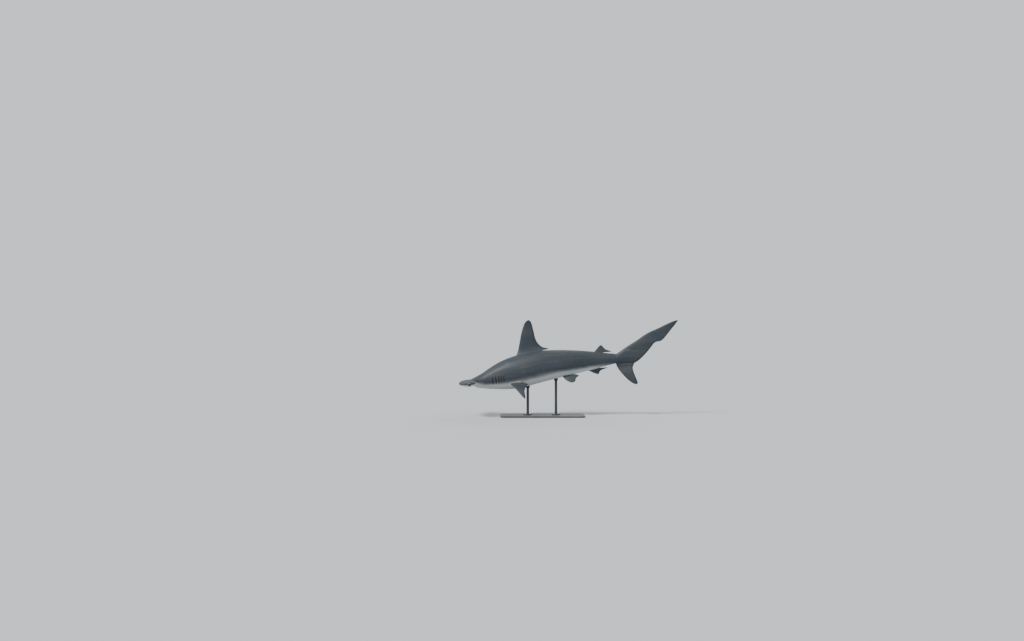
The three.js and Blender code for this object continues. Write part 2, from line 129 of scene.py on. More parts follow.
# %% Body profile
# station, height of the back, height of the belly, half width
BODY = [
    (2.5, 0.4, -0.6, 2.4),
    (4.5, 0.95, -1.1, 4.4),
    (6.5, 1.5, -2.1, 5.7),
    (7.8, 1.9, -2.75, 5.45),
    (9, 2.35, -3.25, 4.9),
    (11, 3.1, -3.85, 4.65),
    (13, 4.1, -4.3, 4.75),
    (17, 5.9, -5.1, 5.3),
    (21, 7.25, -5.75, 5.85),
    (25, 8.1, -6.05, 6.15),
    (30, 8.6, -5.7, 6.2),
    (36, 8.75, -5.05, 6.0),
    (43, 8.15, -4.4, 5.35),
    (50, 7.0, -3.85, 4.35),
    (57, 5.5, -3.25, 3.2),
    (63, 3.95, -2.65, 2.3),
    (68, 2.65, -2.15, 1.75),
    (72, 2.2, -2.0, 1.45),
]
# station, width and height of the dent before the tail fin
TAIL_PIT = (69.9, 0.6, -0.35)
SQUARENESS = 0.92
BELLY_FLATNESS = 0.16


def body_point(station, angle):
    """Point of the trunk. A quarter turn is the back and the angle 0 the right side: side is
    half the width times the cosine, a little squared off, and height is the middle plus half
    the depth times the sine, with the belly a little flatter than an ellipse."""
    back, belly, half = np.moveaxis(through(BODY, station), -1, 0)
    back = back + ridge(station, *TAIL_PIT)
    c, s = np.cos(angle), np.sin(angle)
    flatter = np.where(s > 0, 1, 1 + BELLY_FLATNESS * (1 - s * s))
    height = (back + belly) / 2 + (back - belly) / 2 * s * flatter
    return np.stack([station, half * power(c, SQUARENESS), height], -1)


print("greatest depth:", round(max(back - belly for _, back, belly, _ in BODY), 2), "per cent")

# %% [markdown]
# The hammer
#
# The head is a broad wing with a scalloped front edge: one notch in the middle, one on each
# side of it and one before each nostril. Carving the notches out of a block would leave hard
# edges. So it is lofted sideways, from one eye to the other, through blunt-nosed wing profiles.

# %% Hammer profile
HAMMER_REACH = 13.5
SWEEP_BACK, SWEEP_POWER = 3.4, 2.1
DROOP, DROOP_POWER = 0.5, 1.8
# share of the reach, width and depth of the middle, inner and nostril notches
NOTCHES = [(0, 0.075, 0.6), (0.37, 0.06, 0.3), (0.79, 0.045, 0.55)]
# share of the reach, and there the rear edge's station and the thickness
HAMMER_REAR = [(0, 8.0), (0.3, 7.75), (0.55, 7.35), (0.8, 7.7), (1, 8.5)]
HAMMER_THICKNESS = [(0, 2.5), (0.3, 2.3), (0.6, 1.9), (0.8, 1.85), (0.93, 2.15), (1, 2.2)]
BLUNTNESS = 0.9
FRONT_SWELL, REAR_THINNING = 1.12, 0.36
CORNER_START = 0.84
CORNER_POWER = 2.6
CORNER_CHORD = 0.44
CORNER_THICKNESS_POWER = 0.7


def hammer_front(share):
    """Station of the front edge: an arch that sweeps back, plus a bell curve at each notch."""
    share = np.abs(share)
    return sum((ridge(share, *notch) for notch in NOTCHES), SWEEP_BACK * share**SWEEP_POWER)


def hammer_droop(share):
    """Height of the hammer's middle: it falls with a power of the share of the reach."""
    return -DROOP * share**DROOP_POWER


def hammer_point(side, angle):
    """Point of the hammer. The angle runs from the front edge over the top, round the rear edge
    and back underneath, and the section is thicker in front. Near the wing's end it shrinks as
    a rounded corner, towards a point of its chord."""
    share = np.abs(side) / HAMMER_REACH
    beyond = np.clip((share - CORNER_START) / (1 - CORNER_START), 0, 1)
    shrink = (1 - beyond**CORNER_POWER) ** (1 / CORNER_POWER)
    front, rear = hammer_front(share), through(HAMMER_REAR, share)[..., 0]
    middle = front + CORNER_CHORD * (rear - front)
    chord = (1 - np.cos(angle)) / 2
    half = through(HAMMER_THICKNESS, share)[..., 0] / 2 * shrink**CORNER_THICKNESS_POWER
    rounded = half * power(np.sin(angle), BLUNTNESS) * (FRONT_SWELL - REAR_THINNING * chord)
    station = middle + (front + (rear - front) * chord - middle) * shrink
    height = hammer_droop(share) + rounded
    return np.stack(np.broadcast_arrays(station, side, height), -1)


print("the hammer is", 2 * HAMMER_REACH, "per cent wide")

# %% [markdown]
# One cage for the whole skin
#
# Separate tubes pushed into each other always show a seam. Here all parts share one coarse
# cage of four-sided faces. Where a fin or the neck grows out, a block of faces is left away,
# and the new part is lofted from the edge of that hole. A Subdivision Surface then rounds the
# joint by itself, the way flesh runs into a fin.

# %% Numbers and faces of a grid


def numbering(points):
    """Numbers for a block of points, in the block's own arrangement."""
    return np.arange(points[..., 0].size).reshape(points.shape[:-1])


def quads(numbers):
    """Four-sided faces between neighbouring rows of numbers, closed round each row."""
    around = np.roll(numbers, -1, axis=-1)
    this_row, next_row = np.s_[..., :-1, :], np.s_[..., 1:, :]
    return np.stack([numbers[this_row], around[this_row], around[next_row], numbers[next_row]], -1)


print("two rows of three points give", len(quads(np.arange(6).reshape(2, 3))[0]), "faces")

# %% A cage that grows block by block


class Cage:
    """Vertices and faces in straight-body coordinates, and marks that each vertex carries."""

    def __init__(self, marks):
        self.points = []
        self.faces = []
        self.marks = {name: [] for name in marks}
        self.count = 0

    def add(self, points, **marks):
        """Adds a block of points and returns their numbers in the same arrangement."""
        points = np.asarray(points, float)
        numbers = numbering(points) + self.count
        self.points.append(points.reshape(-1, 3))
        for name, store in self.marks.items():
            value = np.broadcast_to(marks.get(name, 0.0), numbers.shape)
            store.append(np.array(value, float).ravel())
        self.count += numbers.size
        return numbers

    def grid(self, numbers, keep=None):
        """Adds the faces of a grid of numbers: all of them, or the ones to keep."""
        faces = quads(numbers)
        faces = faces.reshape(-1, 4) if keep is None else faces[keep]
        self.faces.extend(faces.tolist())

    def close_flat(self, ring):
        """Closes a flattened ring with a strip that joins each point to the one opposite."""
        half = len(ring) // 2
        k = np.arange(1, half - 1)
        strip = ring[np.stack([k, k + 1, -k - 1, -k], -1)]
        ends = ring[[[0, 1, -1], [half - 1, half, half + 1]]]
        self.faces.extend(ends.tolist() + strip.tolist())

    def all_points(self):
        return np.concatenate(self.points)


cage = Cage(["hammer", "upright", "paired", "lobe", "span", "chord"])
print("the cage carries", list(cage.marks))

# %% Stations of the hammer's sections
# The middle sections match the columns of the neck that grows from behind them.
COLUMNS = 64
TOP = COLUMNS // 4
BOTTOM = 3 * COLUMNS // 4
NECK_CORNER = 5
JOINT_SIDE = 5.2
ring_angles = full_turn(COLUMNS)
neck_widths = power(np.cos(ring_angles[NECK_CORNER : 2 * TOP - NECK_CORNER + 1]), SQUARENESS)
middle_sides = JOINT_SIDE * neck_widths / neck_widths[0]
# np.r_ strings single values and runs of start:stop:step together.
outer_shares = np.r_[0.415:0.7:0.04, 0.72:0.86:0.02, 0.87, 0.895, 0.92, 0.94, 0.957]
outer_sides = HAMMER_REACH * outer_shares
sides = np.concatenate([outer_sides[::-1], middle_sides, -outer_sides])
first_middle = len(outer_sides)
last_middle = first_middle + len(middle_sides) - 1
print(len(sides), "sections from", round(sides[0], 2), "to", round(sides[-1], 2))

# %% The hammer's part of the cage
FRONT_COLUMNS = 30
REAR_COLUMNS = 10
REAR_SWEEP = math.radians(70)
rear_angles = np.linspace(np.pi - REAR_SWEEP, np.pi + REAR_SWEEP, REAR_COLUMNS + 1)
front_angles = np.linspace(np.pi + REAR_SWEEP, 3 * np.pi - REAR_SWEEP, FRONT_COLUMNS + 1)
hammer_angles = np.concatenate([rear_angles, front_angles[1:-1]])
side_grid, angle_grid = np.meshgrid(sides, hammer_angles, indexing="ij")
hammer_numbers = cage.add(hammer_point(side_grid, angle_grid), hammer=1.0)
keep = np.ones((len(sides) - 1, len(hammer_angles)), bool)
keep[first_middle:last_middle, :REAR_COLUMNS] = False
cage.grid(hammer_numbers, keep)
print("hammer cage", hammer_numbers.shape)

# %% [markdown]
# Eye sockets
#
# The eyes sit in the ends of the hammer. A ball laid on the skin would look stuck on. So the
# last section of the wing runs on as rings round the eyeball: out over the rim of the lid, in
# under its edge and on into the ball, where the skin closes out of sight.

# %% Lids and sockets
EYE_RADIUS = 0.017 / PER_CENT
EYE_STATION, EYE_SIDE, EYE_HEIGHT = 5.15, 13.0, -0.42
LID_OVAL, OVAL_RINGS = 0.35, 3
OVAL_SHIFT, OVAL_FLATNESS = 0.25, 0.3
# radius and distance out from the eye's middle, in eye radii
SOCKET = [
    (1.75, 0.22),
    (1.42, 0.42),
    (1.2, 0.6),
    (1.04, 0.7),
    (0.9, 0.66),
    (0.84, 0.58),
    (0.8, 0.3),
    (0.5, 0.0),
]


def socket_rings(direction):
    """Circles about the eye's axis: each has its own radius and distance out along the axis.
    The first ones keep a share of the oval that the wing's end has."""
    radius, out = EYE_RADIUS * np.array(SOCKET).T[..., None]
    oval = LID_OVAL * np.clip(1 - np.arange(len(SOCKET)) / OVAL_RINGS, 0, 1)[:, None]
    station = EYE_STATION - radius * np.cos(hammer_angles) * (1 + oval) + OVAL_SHIFT * oval
    height = EYE_HEIGHT + radius * np.sin(hammer_angles) * (1 - OVAL_FLATNESS * oval)
    return np.stack(np.broadcast_arrays(station, direction * (EYE_SIDE + out), height), -1)


for direction, last_section in ((1, hammer_numbers[0]), (-1, hammer_numbers[-1])):
    numbers = cage.add(socket_rings(direction), hammer=1.0)
    cage.grid(np.vstack([last_section, numbers]))
    cage.faces.append(numbers[-1].tolist())
print("two sockets of", len(SOCKET), "rings")

# %% [markdown]
# Trunk and upper tail lobe
#
# The trunk starts at the hole behind the hammer. Upright rings would be simpler, but they would
# cut through the hammer's rear corners. So its rings lean: at the sides they lie further back
# than in the middle, and underneath they follow the arch of the mouth, which keeps the line of
# the lips crisp. Past the notch before the tail fin, the same rings go on into the upper lobe.

# %% Rings of the trunk
MOUTH_DEPTH = 3.3
MOUTH_HALF_WIDTH = 2.95
MOUTH_ARCH = 2.1
JAW_HALF_WIDTH = 4.85
# station of a ring on the midline, share of the mouth's depth that it leans back
LEAN = [
    (5.5, 0.6),
    (6.0, 0.74),
    (6.45, 0.9),
    (6.9, 1.0),
    (7.6, 0.98),
    (10, 0.62),
    (12, 0.28),
    (13.6, 0.04),
    (14, 0),
]
front_rings = np.r_[6.06, 6.3, 6.5, 6.6:7.35:0.09, 7.5:9.0:0.28, 9.1:13.8:0.5, 14.0:20.5:0.25]
rear_rings = np.r_[21.0:44.0:0.72, 44.4:56.0:0.62, 56.2:65.0:0.5, 65.3:69.2:0.6]
ring_stations = np.r_[front_rings, rear_rings, 69.3, 69.65, 69.95, 70.3]


def lean(station, angle):
    """How far back a ring lies at an angle: nothing on the midline. Underneath it grows with
    the arch of the mouth, and above with the square of the cosine."""
    amount = MOUTH_DEPTH * through(LEAN, np.minimum(station, LEAN[-1][0]))[..., 0]
    out = JAW_HALF_WIDTH * np.abs(np.cos(angle)) ** SQUARENESS / MOUTH_HALF_WIDTH
    under = np.minimum(1, out) ** MOUTH_ARCH
    return amount * np.where(np.sin(angle) > 0, np.cos(angle) ** 2, under)


station_grid, ring_angle_grid = np.meshgrid(ring_stations, ring_angles, indexing="ij")
trunk_points = body_point(station_grid + lean(station_grid, ring_angle_grid), ring_angle_grid)
print(len(ring_stations), "rings round the trunk")

# %% Sections of fins
WING = (2.969, -1.26, -3.516, 2.843, -1.015)
THINNING_POWER = 0.75
TIP_START = 0.92
TIP_SHRINK = 0.94


def wing_profile(chord):
    """Half thickness of a classic wing section at a share of its chord, 1 at its thickest: a
    root of the chord times one number, and the next four powers of it times four others."""
    root, *rest = WING
    return root * np.sqrt(chord) + sum(k * chord ** (i + 1) for i, k in enumerate(rest))


def fin_section(outline, share, angle, root, tip, swell=1.0, blend=0.12, oval=0.0):
    """Along a fin's section: station, distance along the span and distance out of its plane.
    The angle runs from the front edge along one face to the rear edge and back along the
    other. Thickness, in mm, falls from root to tip, and swells into the body near the root.
    Past the start of the tip the section shrinks by the root of 1 minus a square, nearly as in
    an ellipse."""
    front, front_span, rear, rear_span = np.moveaxis(through(outline, share), -1, 0)
    clipped = np.maximum(share, 0)
    near_root = np.exp(-clipped / blend)
    past_start = np.clip((share - TIP_START) / (1 - TIP_START), 0, 1)
    shrink = np.sqrt(1 - TIP_SHRINK * past_start**2)
    half = (root + (tip - root) * clipped**THINNING_POWER + swell * root * near_root) * shrink
    chord = (1 - np.cos(angle)) / 2
    roundness = oval * near_root
    profile = wing_profile(chord) * (1 - roundness) + np.abs(np.sin(angle)) * roundness
    out = half * profile * np.sign(np.round(np.sin(angle), 9)) / MM_PER_CENT
    across = 0.5 + (chord - 0.5) * shrink
    station = front + (rear - front) * across
    span = front_span + (rear_span - front_span) * across
    return station, span, out


def upright(station, span, out):
    """Places a fin on the midline: the span is its height, and its faces look sideways."""
    return np.stack([station, out, span], -1)


print("at 0.3 of its chord a wing is", round(float(wing_profile(0.3)), 3), "of its thickness")

# %% The upper lobe continues the trunk
# share of the span, front station, front height, rear station, rear height
UPPER_LOBE = [
    (0, 70.35, 2.1, 70.35, -2.05),
    (0.08, 72.2, 3.1, 73.6, -2.6),
    (0.2, 75.2, 4.6, 77.5, -3.0),
    (0.36, 79.6, 6.55, 81.4, -0.8),
    (0.5, 83.5, 8.5, 84.7, 2.0),
    (0.6, 86.4, 9.6, 87.4, 4.5),
    (0.68, 88.9, 10.25, 90.3, 4.9),
    (0.85, 94.1, 11.9, 94.9, 9.0),
    (0.97, 97.5, 12.75, 98.0, 11.9),
    (1, 98.2, 12.8, 98.5, 12.4),
]
stalk_shares = np.r_[0.02:0.24:0.022, 0.26:0.58:0.035]
lobe_shares = np.r_[stalk_shares, 0.59:0.74:0.02, 0.76:0.95:0.035, 0.965, 0.98, 0.992, 1.0]
share_grid, lobe_angle_grid = np.meshgrid(lobe_shares, ring_angles, indexing="ij")
# A trunk ring starts at the right side and a fin section at its upper edge, a quarter turn on.
STALK = {"root": 22, "tip": 3, "swell": 0.75, "blend": 0.2, "oval": 1.0}
lobe_points = upright(*fin_section(UPPER_LOBE, share_grid, np.pi / 2 - lobe_angle_grid, **STALK))
from_root = ease(share_grid, 0, 0.15)
lobe_chord = (1 - np.sin(lobe_angle_grid)) / 2
lobe_marks = {"upright": from_root, "lobe": from_root, "span": share_grid, "chord": lobe_chord}
trunk_numbers = np.vstack([cage.add(trunk_points), cage.add(lobe_points, **lobe_marks)])
stations_of_rows = np.concatenate([ring_stations, through(UPPER_LOBE, lobe_shares)[:, 2]])
print("trunk and lobe", trunk_numbers.shape)

# %% Join the trunk to the hammer
# The hole's edge, read in the order of the trunk's columns: over the top from right to left,
# down the left end, back underneath and up the right end.
EDGE_STATION = 5.5
near_end, far_end = hammer_numbers[first_middle], hammer_numbers[last_middle]
over = hammer_numbers[first_middle:last_middle, 0]
under = hammer_numbers[last_middle:first_middle:-1, REAR_COLUMNS]
edge = np.concatenate([over, far_end[:REAR_COLUMNS], under, near_end[REAR_COLUMNS:0:-1]])
neck_edge = np.roll(edge, NECK_CORNER)
rings = np.vstack([neck_edge, trunk_numbers])
ring_places = np.concatenate([[EDGE_STATION], stations_of_rows])
trunk_kept = np.ones((len(rings) - 1, COLUMNS), bool)
print("the neck's edge has", len(neck_edge), "points")

# %% [markdown]
# Fins
#
# A plate with bevelled edges would look cut out. A real fin is a wing: an outline in its own
# plane, and a thickness that falls towards the tip. Its first rings hold on to the edge of the
# hole and let go of it quickly, which gives the fleshy flare at a real fin's root. The free
# rear tip is part of the outline.

# %% The hole that a fin grows from


def hole_edge(first_row, last_row, near, far):
    """Numbers round a block of the trunk, from its front's middle along the near column to its
    rear's middle, and back along the far column."""
    step = 1 if far > near else -1
    across = np.arange(near, far + step, step)
    half = len(across) // 2
    front, rear = rings[first_row, across % COLUMNS], rings[last_row, across % COLUMNS]
    near_side = rings[first_row + 1 : last_row, near % COLUMNS]
    far_side = rings[first_row + 1 : last_row, far % COLUMNS][::-1]
    return np.concatenate([front[half::-1], near_side, rear, far_side, front[:half:-1]])


print("a hole of one row and two columns has", len(hole_edge(0, 1, 0, 2)), "points round it")

# %% Grow one fin
HOLD_ON = 0.06
MARK_START, MARK_END = -0.02, 0.12
TILT_STATION = 24


def grow_fin(outline, place, near, far, shares, mark, **thickness):
    """Leaves a block of the trunk open and lofts a fin from its edge: each ring is the fin's
    own section, plus what is left of the gap between the edge and the section at the root."""
    _, front, _, rear, _ = min(outline, key=lambda row: abs(row[0]))
    first_row = int(np.abs(ring_places - front).argmin())
    last_row = int(np.abs(ring_places - rear).argmin())
    low, high = sorted((near, far))
    trunk_kept[first_row:last_row, low:high] = False
    edge = hole_edge(first_row, last_row, near, far)
    share, angle = np.meshgrid(shares, full_turn(len(edge)), indexing="ij")
    root = place(*fin_section(outline, np.zeros(len(edge)), angle[0], **thickness))
    gap = cage.all_points()[edge] - root
    fading = np.exp(-share / HOLD_ON)[..., None]
    points = place(*fin_section(outline, share, angle, **thickness)) + gap * fading
    grown = {mark: ease(share, MARK_START, MARK_END)}
    numbers = cage.add(points, span=share, chord=(1 - np.cos(angle)) / 2, **grown)
    cage.grid(np.vstack([edge, numbers]))
    cage.close_flat(numbers[-1])
    print("a fin of", len(shares), "rings of", len(edge), "points")


def sideways(side, root_side, root_height, droop, bow, span, tilt):
    """Places a paired fin. It leaves the body at an angle below the horizontal, and bends
    down further along its span, like a bow."""

    def place(station, along, out):
        share = along / span
        angle, below = droop + bow * share / 2, droop + bow * share
        away = root_side + along * np.cos(angle) + out * np.sin(below)
        height = root_height - along * np.sin(angle) + out * np.cos(below)
        return np.stack([station, side * away, height - tilt * (station - TILT_STATION)], -1)

    return place


# %% Outlines of the fins
# share of the span, front station, front span, rear station, rear span
FIRST_DORSAL = [
    (-0.14, 26.2, 5.9, 37.6, 6.2),
    (0, 26.7, 8.1, 37.4, 8.5),
    (0.07, 27.5, 9.7, 41.4, 8.95),
    (0.15, 28.2, 11.4, 38.6, 10.1),
    (0.3, 29.1, 14.0, 36.5, 13.0),
    (0.6, 30.7, 18.3, 35.9, 17.6),
    (0.85, 32.3, 21.4, 35.6, 20.9),
    (0.96, 33.5, 22.6, 35.2, 22.2),
    (1, 34.0, 22.85, 34.9, 22.7),
]
SECOND_DORSAL = [
    (-0.3, 60.6, 2.6, 64.4, 1.8),
    (0, 60.7, 4.5, 64.2, 3.5),
    (0.22, 61.4, 5.15, 68.4, 3.35),
    (0.5, 62.3, 5.9, 66.0, 4.7),
    (0.8, 63.3, 6.7, 64.8, 6.25),
    (1, 63.9, 7.0, 64.4, 6.85),
]
ANAL = [
    (-0.3, 56.6, -1.6, 62.0, -0.9),
    (0, 56.7, -3.0, 61.7, -2.6),
    (0.2, 57.6, -3.7, 65.8, -3.2),
    (0.5, 58.8, -4.5, 62.6, -3.9),
    (0.8, 60.1, -5.2, 61.5, -4.95),
    (1, 60.8, -5.5, 61.3, -5.4),
]
LOWER_LOBE = [
    (-0.18, 69.4, -0.6, 76.6, 0.6),
    (0, 69.3, -2.3, 77.2, -2.4),
    (0.25, 69.9, -4.4, 76.3, -5.0),
    (0.5, 71.3, -6.9, 76.5, -7.4),
    (0.8, 73.7, -10.3, 77.2, -10.4),
    (0.95, 75.6, -12.0, 77.5, -11.9),
    (1, 76.5, -12.5, 77.2, -12.4),
]
PECTORAL = [
    (-0.2, 21.9, -2.4, 26.3, -2.4),
    (0, 21.9, 0, 26.6, 0),
    (0.12, 22.6, 1.5, 29.0, 1.3),
    (0.2, 23.0, 2.5, 29.6, 2.2),
    (0.32, 23.6, 4.0, 28.6, 3.9),
    (0.6, 24.9, 7.4, 27.6, 7.3),
    (0.85, 26.1, 10.3, 27.5, 10.2),
    (0.96, 26.8, 11.7, 27.4, 11.6),
    (1, 27.1, 12.0, 27.4, 11.95),
]
PELVIC = [
    (-0.4, 45.0, -1.7, 48.9, -1.7),
    (0, 44.9, 0, 49.2, 0),
    (0.3, 45.7, 1.35, 52.4, 1.1),
    (0.55, 46.4, 2.5, 50.8, 2.25),
    (0.85, 47.4, 3.7, 50.2, 3.6),
    (1, 48.2, 4.2, 49.6, 4.15),
]
print("the first dorsal fin's tip is at height", FIRST_DORSAL[-1][2])

# %% Grow them all
tip_shares = [0.92, 0.945, 0.965, 0.98, 0.992, 1]
long_fin = np.r_[0.02, 0.045, 0.07:0.3:0.03, 0.32:0.9:0.055, tip_shares]
short_fin = np.r_[0.03, 0.08, 0.14:0.9:0.075, tip_shares[1::2]]
grow_fin(FIRST_DORSAL, upright, TOP - 2, TOP + 2, long_fin, "upright", root=15, tip=2.5)
grow_fin(SECOND_DORSAL, upright, TOP - 1, TOP + 1, short_fin, "upright", root=5, tip=1.6)
grow_fin(ANAL, upright, BOTTOM + 1, BOTTOM - 1, short_fin, "upright", root=6, tip=1.8)
lobe = {"root": 9, "tip": 2.5, "swell": 0.4}
grow_fin(LOWER_LOBE, upright, BOTTOM + 3, BOTTOM - 3, long_fin, "upright", **lobe)
for side in (1, -1):
    pectoral = sideways(side, 4.9, -3.4, droop=0.36, bow=0.4, span=12, tilt=0.05)
    near, far = BOTTOM + 11 * side, BOTTOM + 7 * side
    grow_fin(PECTORAL, pectoral, near, far, long_fin, "paired", root=12, tip=2.5)
    pelvic = sideways(side, 2.2, -3.5, droop=0.95, bow=0.1, span=4.2, tilt=0)
    near, far = BOTTOM + 5 * side, BOTTOM + 3 * side
    grow_fin(PELVIC, pelvic, near, far, short_fin, "paired", root=7, tip=1.8)
cage.grid(rings, trunk_kept)
cage.close_flat(np.roll(rings[-1], -TOP))
print("cage:", cage.count, "points,", len(cage.faces), "faces")

# %% [markdown]
# From cage to skin
#
# A Smooth modifier with a vertex group first fills the corner between hammer and neck, where
# flesh would. One level of Subdivision Surface then rounds the cage and quarters its faces. The
# result is read back as plain arrays, so that folds and slits can be pressed in by formulas.

# %% Helpers for meshes


def read(collection, name, width):
    """One property of a mesh's vertices as an array with a row for each."""
    values = np.zeros(len(collection) * width, np.float32)
    collection.foreach_get(name, values)
    return values.astype(float).reshape(-1, width)


def make_mesh(name, points, faces):
    """A mesh from an array of points and lists of their numbers."""
    mesh = bpy.data.meshes.new(name)
    mesh.from_pydata(points.reshape(-1, 3).tolist(), [], faces)
    return mesh


def face_outwards(mesh):
    """Drops the points that carry no face, such as those inside a hole where a fin grows, turns
    all faces outwards, and counts the edges that don't join two faces."""
    work = bmesh.new()
    work.from_mesh(mesh)
    unused = [point for point in work.verts if not point.link_faces]
    bmesh.ops.delete(work, geom=unused, context="VERTS")
    bmesh.ops.recalc_face_normals(work, faces=work.faces)
    open_edges = sum(len(edge.link_faces) != 2 for edge in work.edges)
    work.to_mesh(mesh)
    work.free()
    return open_edges


def keep_mark(mesh, name, values):
    """Stores one number per vertex as an attribute that a material can read."""
    mark = mesh.attributes.new(name, "FLOAT", "POINT")
    mark.data.foreach_set("value", np.asarray(values, np.float32))


def add_object(name, data, smooth=True):
    """An object at the origin. A mesh that it carries already holds its place."""
    made = bpy.data.objects.new(name, data)
    bpy.context.scene.collection.objects.link(made)
    if made.type == "MESH":
        data.polygons.foreach_set("use_smooth", np.full(len(data.polygons), smooth))
    return made


coarse = make_mesh("skin_cage", cage.all_points(), cage.faces)
for name, store in cage.marks.items():
    keep_mark(coarse, name, np.concatenate(store))
print("open edges in the cage:", face_outwards(coarse))

# %% Fill the corner and subdivide
# station and side of the corner, and how far the softening reaches
CORNER_STATION, STATION_REACH = 7.6, 1.6
CORNER_SIDE, SIDE_REACH = 5.6, 1.5
WEIGHT_STEP = 0.2
cage_object = add_object("skin_cage", coarse)
station, side, _ = read(coarse.vertices, "co", 3).T
softness = bump(station, CORNER_STATION, STATION_REACH)
softness *= bump(np.abs(side), CORNER_SIDE, SIDE_REACH)
corner = cage_object.vertex_groups.new(name="corner")
for weight in WEIGHT_STEP * np.arange(1, 6):
    soft_points = np.flatnonzero(softness > weight - WEIGHT_STEP / 2)
    corner.add(soft_points.tolist(), weight, "REPLACE")
softening = cage_object.modifiers.new("softening", "SMOOTH")
softening.vertex_group = corner.name
softening.factor = 0.5
softening.iterations = 14
rounding = cage_object.modifiers.new("rounding", "SUBSURF")
rounding.levels = rounding.render_levels = 1
evaluated = cage_object.evaluated_get(bpy.context.evaluated_depsgraph_get())
hide = bpy.data.meshes.new_from_object(evaluated)
hide.name = "skin"
bpy.data.objects.remove(cage_object)
print("skin:", len(hide.vertices), "vertices and", len(hide.polygons), "faces")

# %% Read the smooth skin back
FIRST_STATION, LAST_STATION = BODY[0][0], BODY[-1][0]
straight = read(hide.vertices, "co", 3)
normals = read(hide.vertex_normals, "vector", 3)
marks = {name: read(hide.attributes[name].data, "value", 1)[:, 0] for name in cage.marks}
station, side, height = straight.T
profile = through(BODY, np.clip(station, FIRST_STATION, LAST_STATION))
back, belly = profile[:, 0], profile[:, 1]
body_height = (height - (back + belly) / 2) / ((back - belly) / 2)
on_head = np.clip(1 - marks["upright"] - marks["paired"], 0, 1)
on_body = np.clip(1 - marks["upright"] - marks["paired"] - marks["hammer"], 0, 1)
relief = np.zeros(len(straight))
# The slit mark is painted shade: it darkens the gill slits, the mouth's gape, the nostril pits,
# the grooves and the vent, over their own dark inside.
slit = np.zeros(len(straight))
print("straight skin: station", station.min().round(1), "to", station.max().round(1))

# %% [markdown]
# Gills, mouth and nostrils
#
# These are real folds, and bump in a material would leave them out of the mesh's shape. So each
# is a small height field: a formula says how far the skin stands out or sinks in along its
# normal. Every gill flap rises gently towards its free rear edge and drops into the slit behind
# it. The mouth is an arch with rolled lips, and each nostril ends a shallow groove along the
# hammer's front edge.

# %% Gill flaps
GILL_STATIONS = (15.0, 16.35, 17.6, 18.75, 19.8)
GILL_HALF_HEIGHTS = (1.75, 1.9, 1.9, 1.75, 1.45)
GILL_HEIGHT = -0.9
GILL_BOW = 0.1
LEAST_SIDE = 2
FLAP_LIFT = 0.17
SLIT_DEPTH = 0.34
FLAP_PLACES = (-0.95, -0.14, 0, 0.12, 0.3)
FLAP_LEVELS = (0, FLAP_LIFT, -SLIT_DEPTH, -SLIT_DEPTH, 0)
DARK_PLACES = (-0.08, 0.02, 0.13, 0.27)
DARK_LEVELS = (0, 1, 1, 0)
for gill_station, gill_half in zip(GILL_STATIONS, GILL_HALF_HEIGHTS):
    up = (height - GILL_HEIGHT) / gill_half
    window = np.sqrt(np.clip(1 - up**2, 0, 1)) * on_body * (np.abs(side) > LEAST_SIDE)
    behind = station - gill_station + GILL_BOW * up**2
    relief += window * np.interp(behind, FLAP_PLACES, FLAP_LEVELS)
    # painted shade in each gill slit
    slit = np.maximum(slit, window * np.interp(behind, DARK_PLACES, DARK_LEVELS))
print("gill slits reach", round(float(-relief.min() * MM_PER_CENT), 1), "mm deep")

# %% Mouth
MOUTH_FRONT = 6.9
MOUTH_END = 13
# distance behind the line of the mouth, width and height
LOWER_LIP = (0.34, 0.22, 0.2)
UPPER_LIP = (-0.26, 0.2, 0.16)
GAPE = (0, 0.12, -0.55)
CORNER_FOLD = (0.05, 0.16, -0.12)
# share of the mouth's half width, and width
FOLD_PLACE = (1.12, 0.13)
LIPS_END = 1.04
# how far the skin has to face down: from not at all to in full
LIPS_DOWN = (0.1, 0.5)
mouth_share = side / MOUTH_HALF_WIDTH
behind = station - (MOUTH_FRONT + MOUTH_DEPTH * np.abs(mouth_share) ** MOUTH_ARCH)
underneath = ease(-normals[:, 2], *LIPS_DOWN) * on_head * (station < MOUTH_END)
fade = np.sqrt(np.clip(LIPS_END - mouth_share**2, 0, 1)) * underneath
relief += fade * (ridge(behind, *LOWER_LIP) + ridge(behind, *UPPER_LIP) + ridge(behind, *GAPE))
relief += ridge(behind, *CORNER_FOLD) * bump(np.abs(mouth_share), *FOLD_PLACE) * underneath
# painted shade in the gape of the mouth
slit = np.maximum(slit, np.sqrt(fade) * bump(behind, *GAPE[:2]))
print("the mouth is", round(2 * MOUTH_HALF_WIDTH * MM_PER_CENT), "mm wide")

# %% The vent between the pelvic fins
VENT_STATION = 48.2
VENT_WIDTH, VENT_LENGTH = 0.13, 1.1
# side, width and height of its lips
VENT_LIPS = (0.34, 0.2, 0.07)
VENT_DEPTH = 0.16
VENT_SHADE = 0.6
VENT_DOWN = (0.6, 0.9)
on_underside = on_body * ease(-normals[:, 2], *VENT_DOWN)
vent = bump(side, 0, VENT_WIDTH) * plateau(station, VENT_STATION, VENT_LENGTH) * on_underside
vent_lips = ridge(np.abs(side), *VENT_LIPS) * bump(station, VENT_STATION, 1.0) * on_underside
relief += vent_lips - VENT_DEPTH * vent
# painted shade in the vent
slit = np.maximum(slit, VENT_SHADE * vent)
print("the vent is", VENT_DEPTH * MM_PER_CENT, "mm deep")

# %% Nostrils and the flap behind each
NOSTRIL_SHARE = 0.85
NOSTRIL_SETBACK = 0.36
NOSTRIL_SLANT = 0.3
NOSTRIL_LENGTH, NOSTRIL_WIDTH = 0.2, 0.66
NOSTRIL_DEPTH = 0.34
NOSTRIL_DOWN = (-0.2, 0.4)
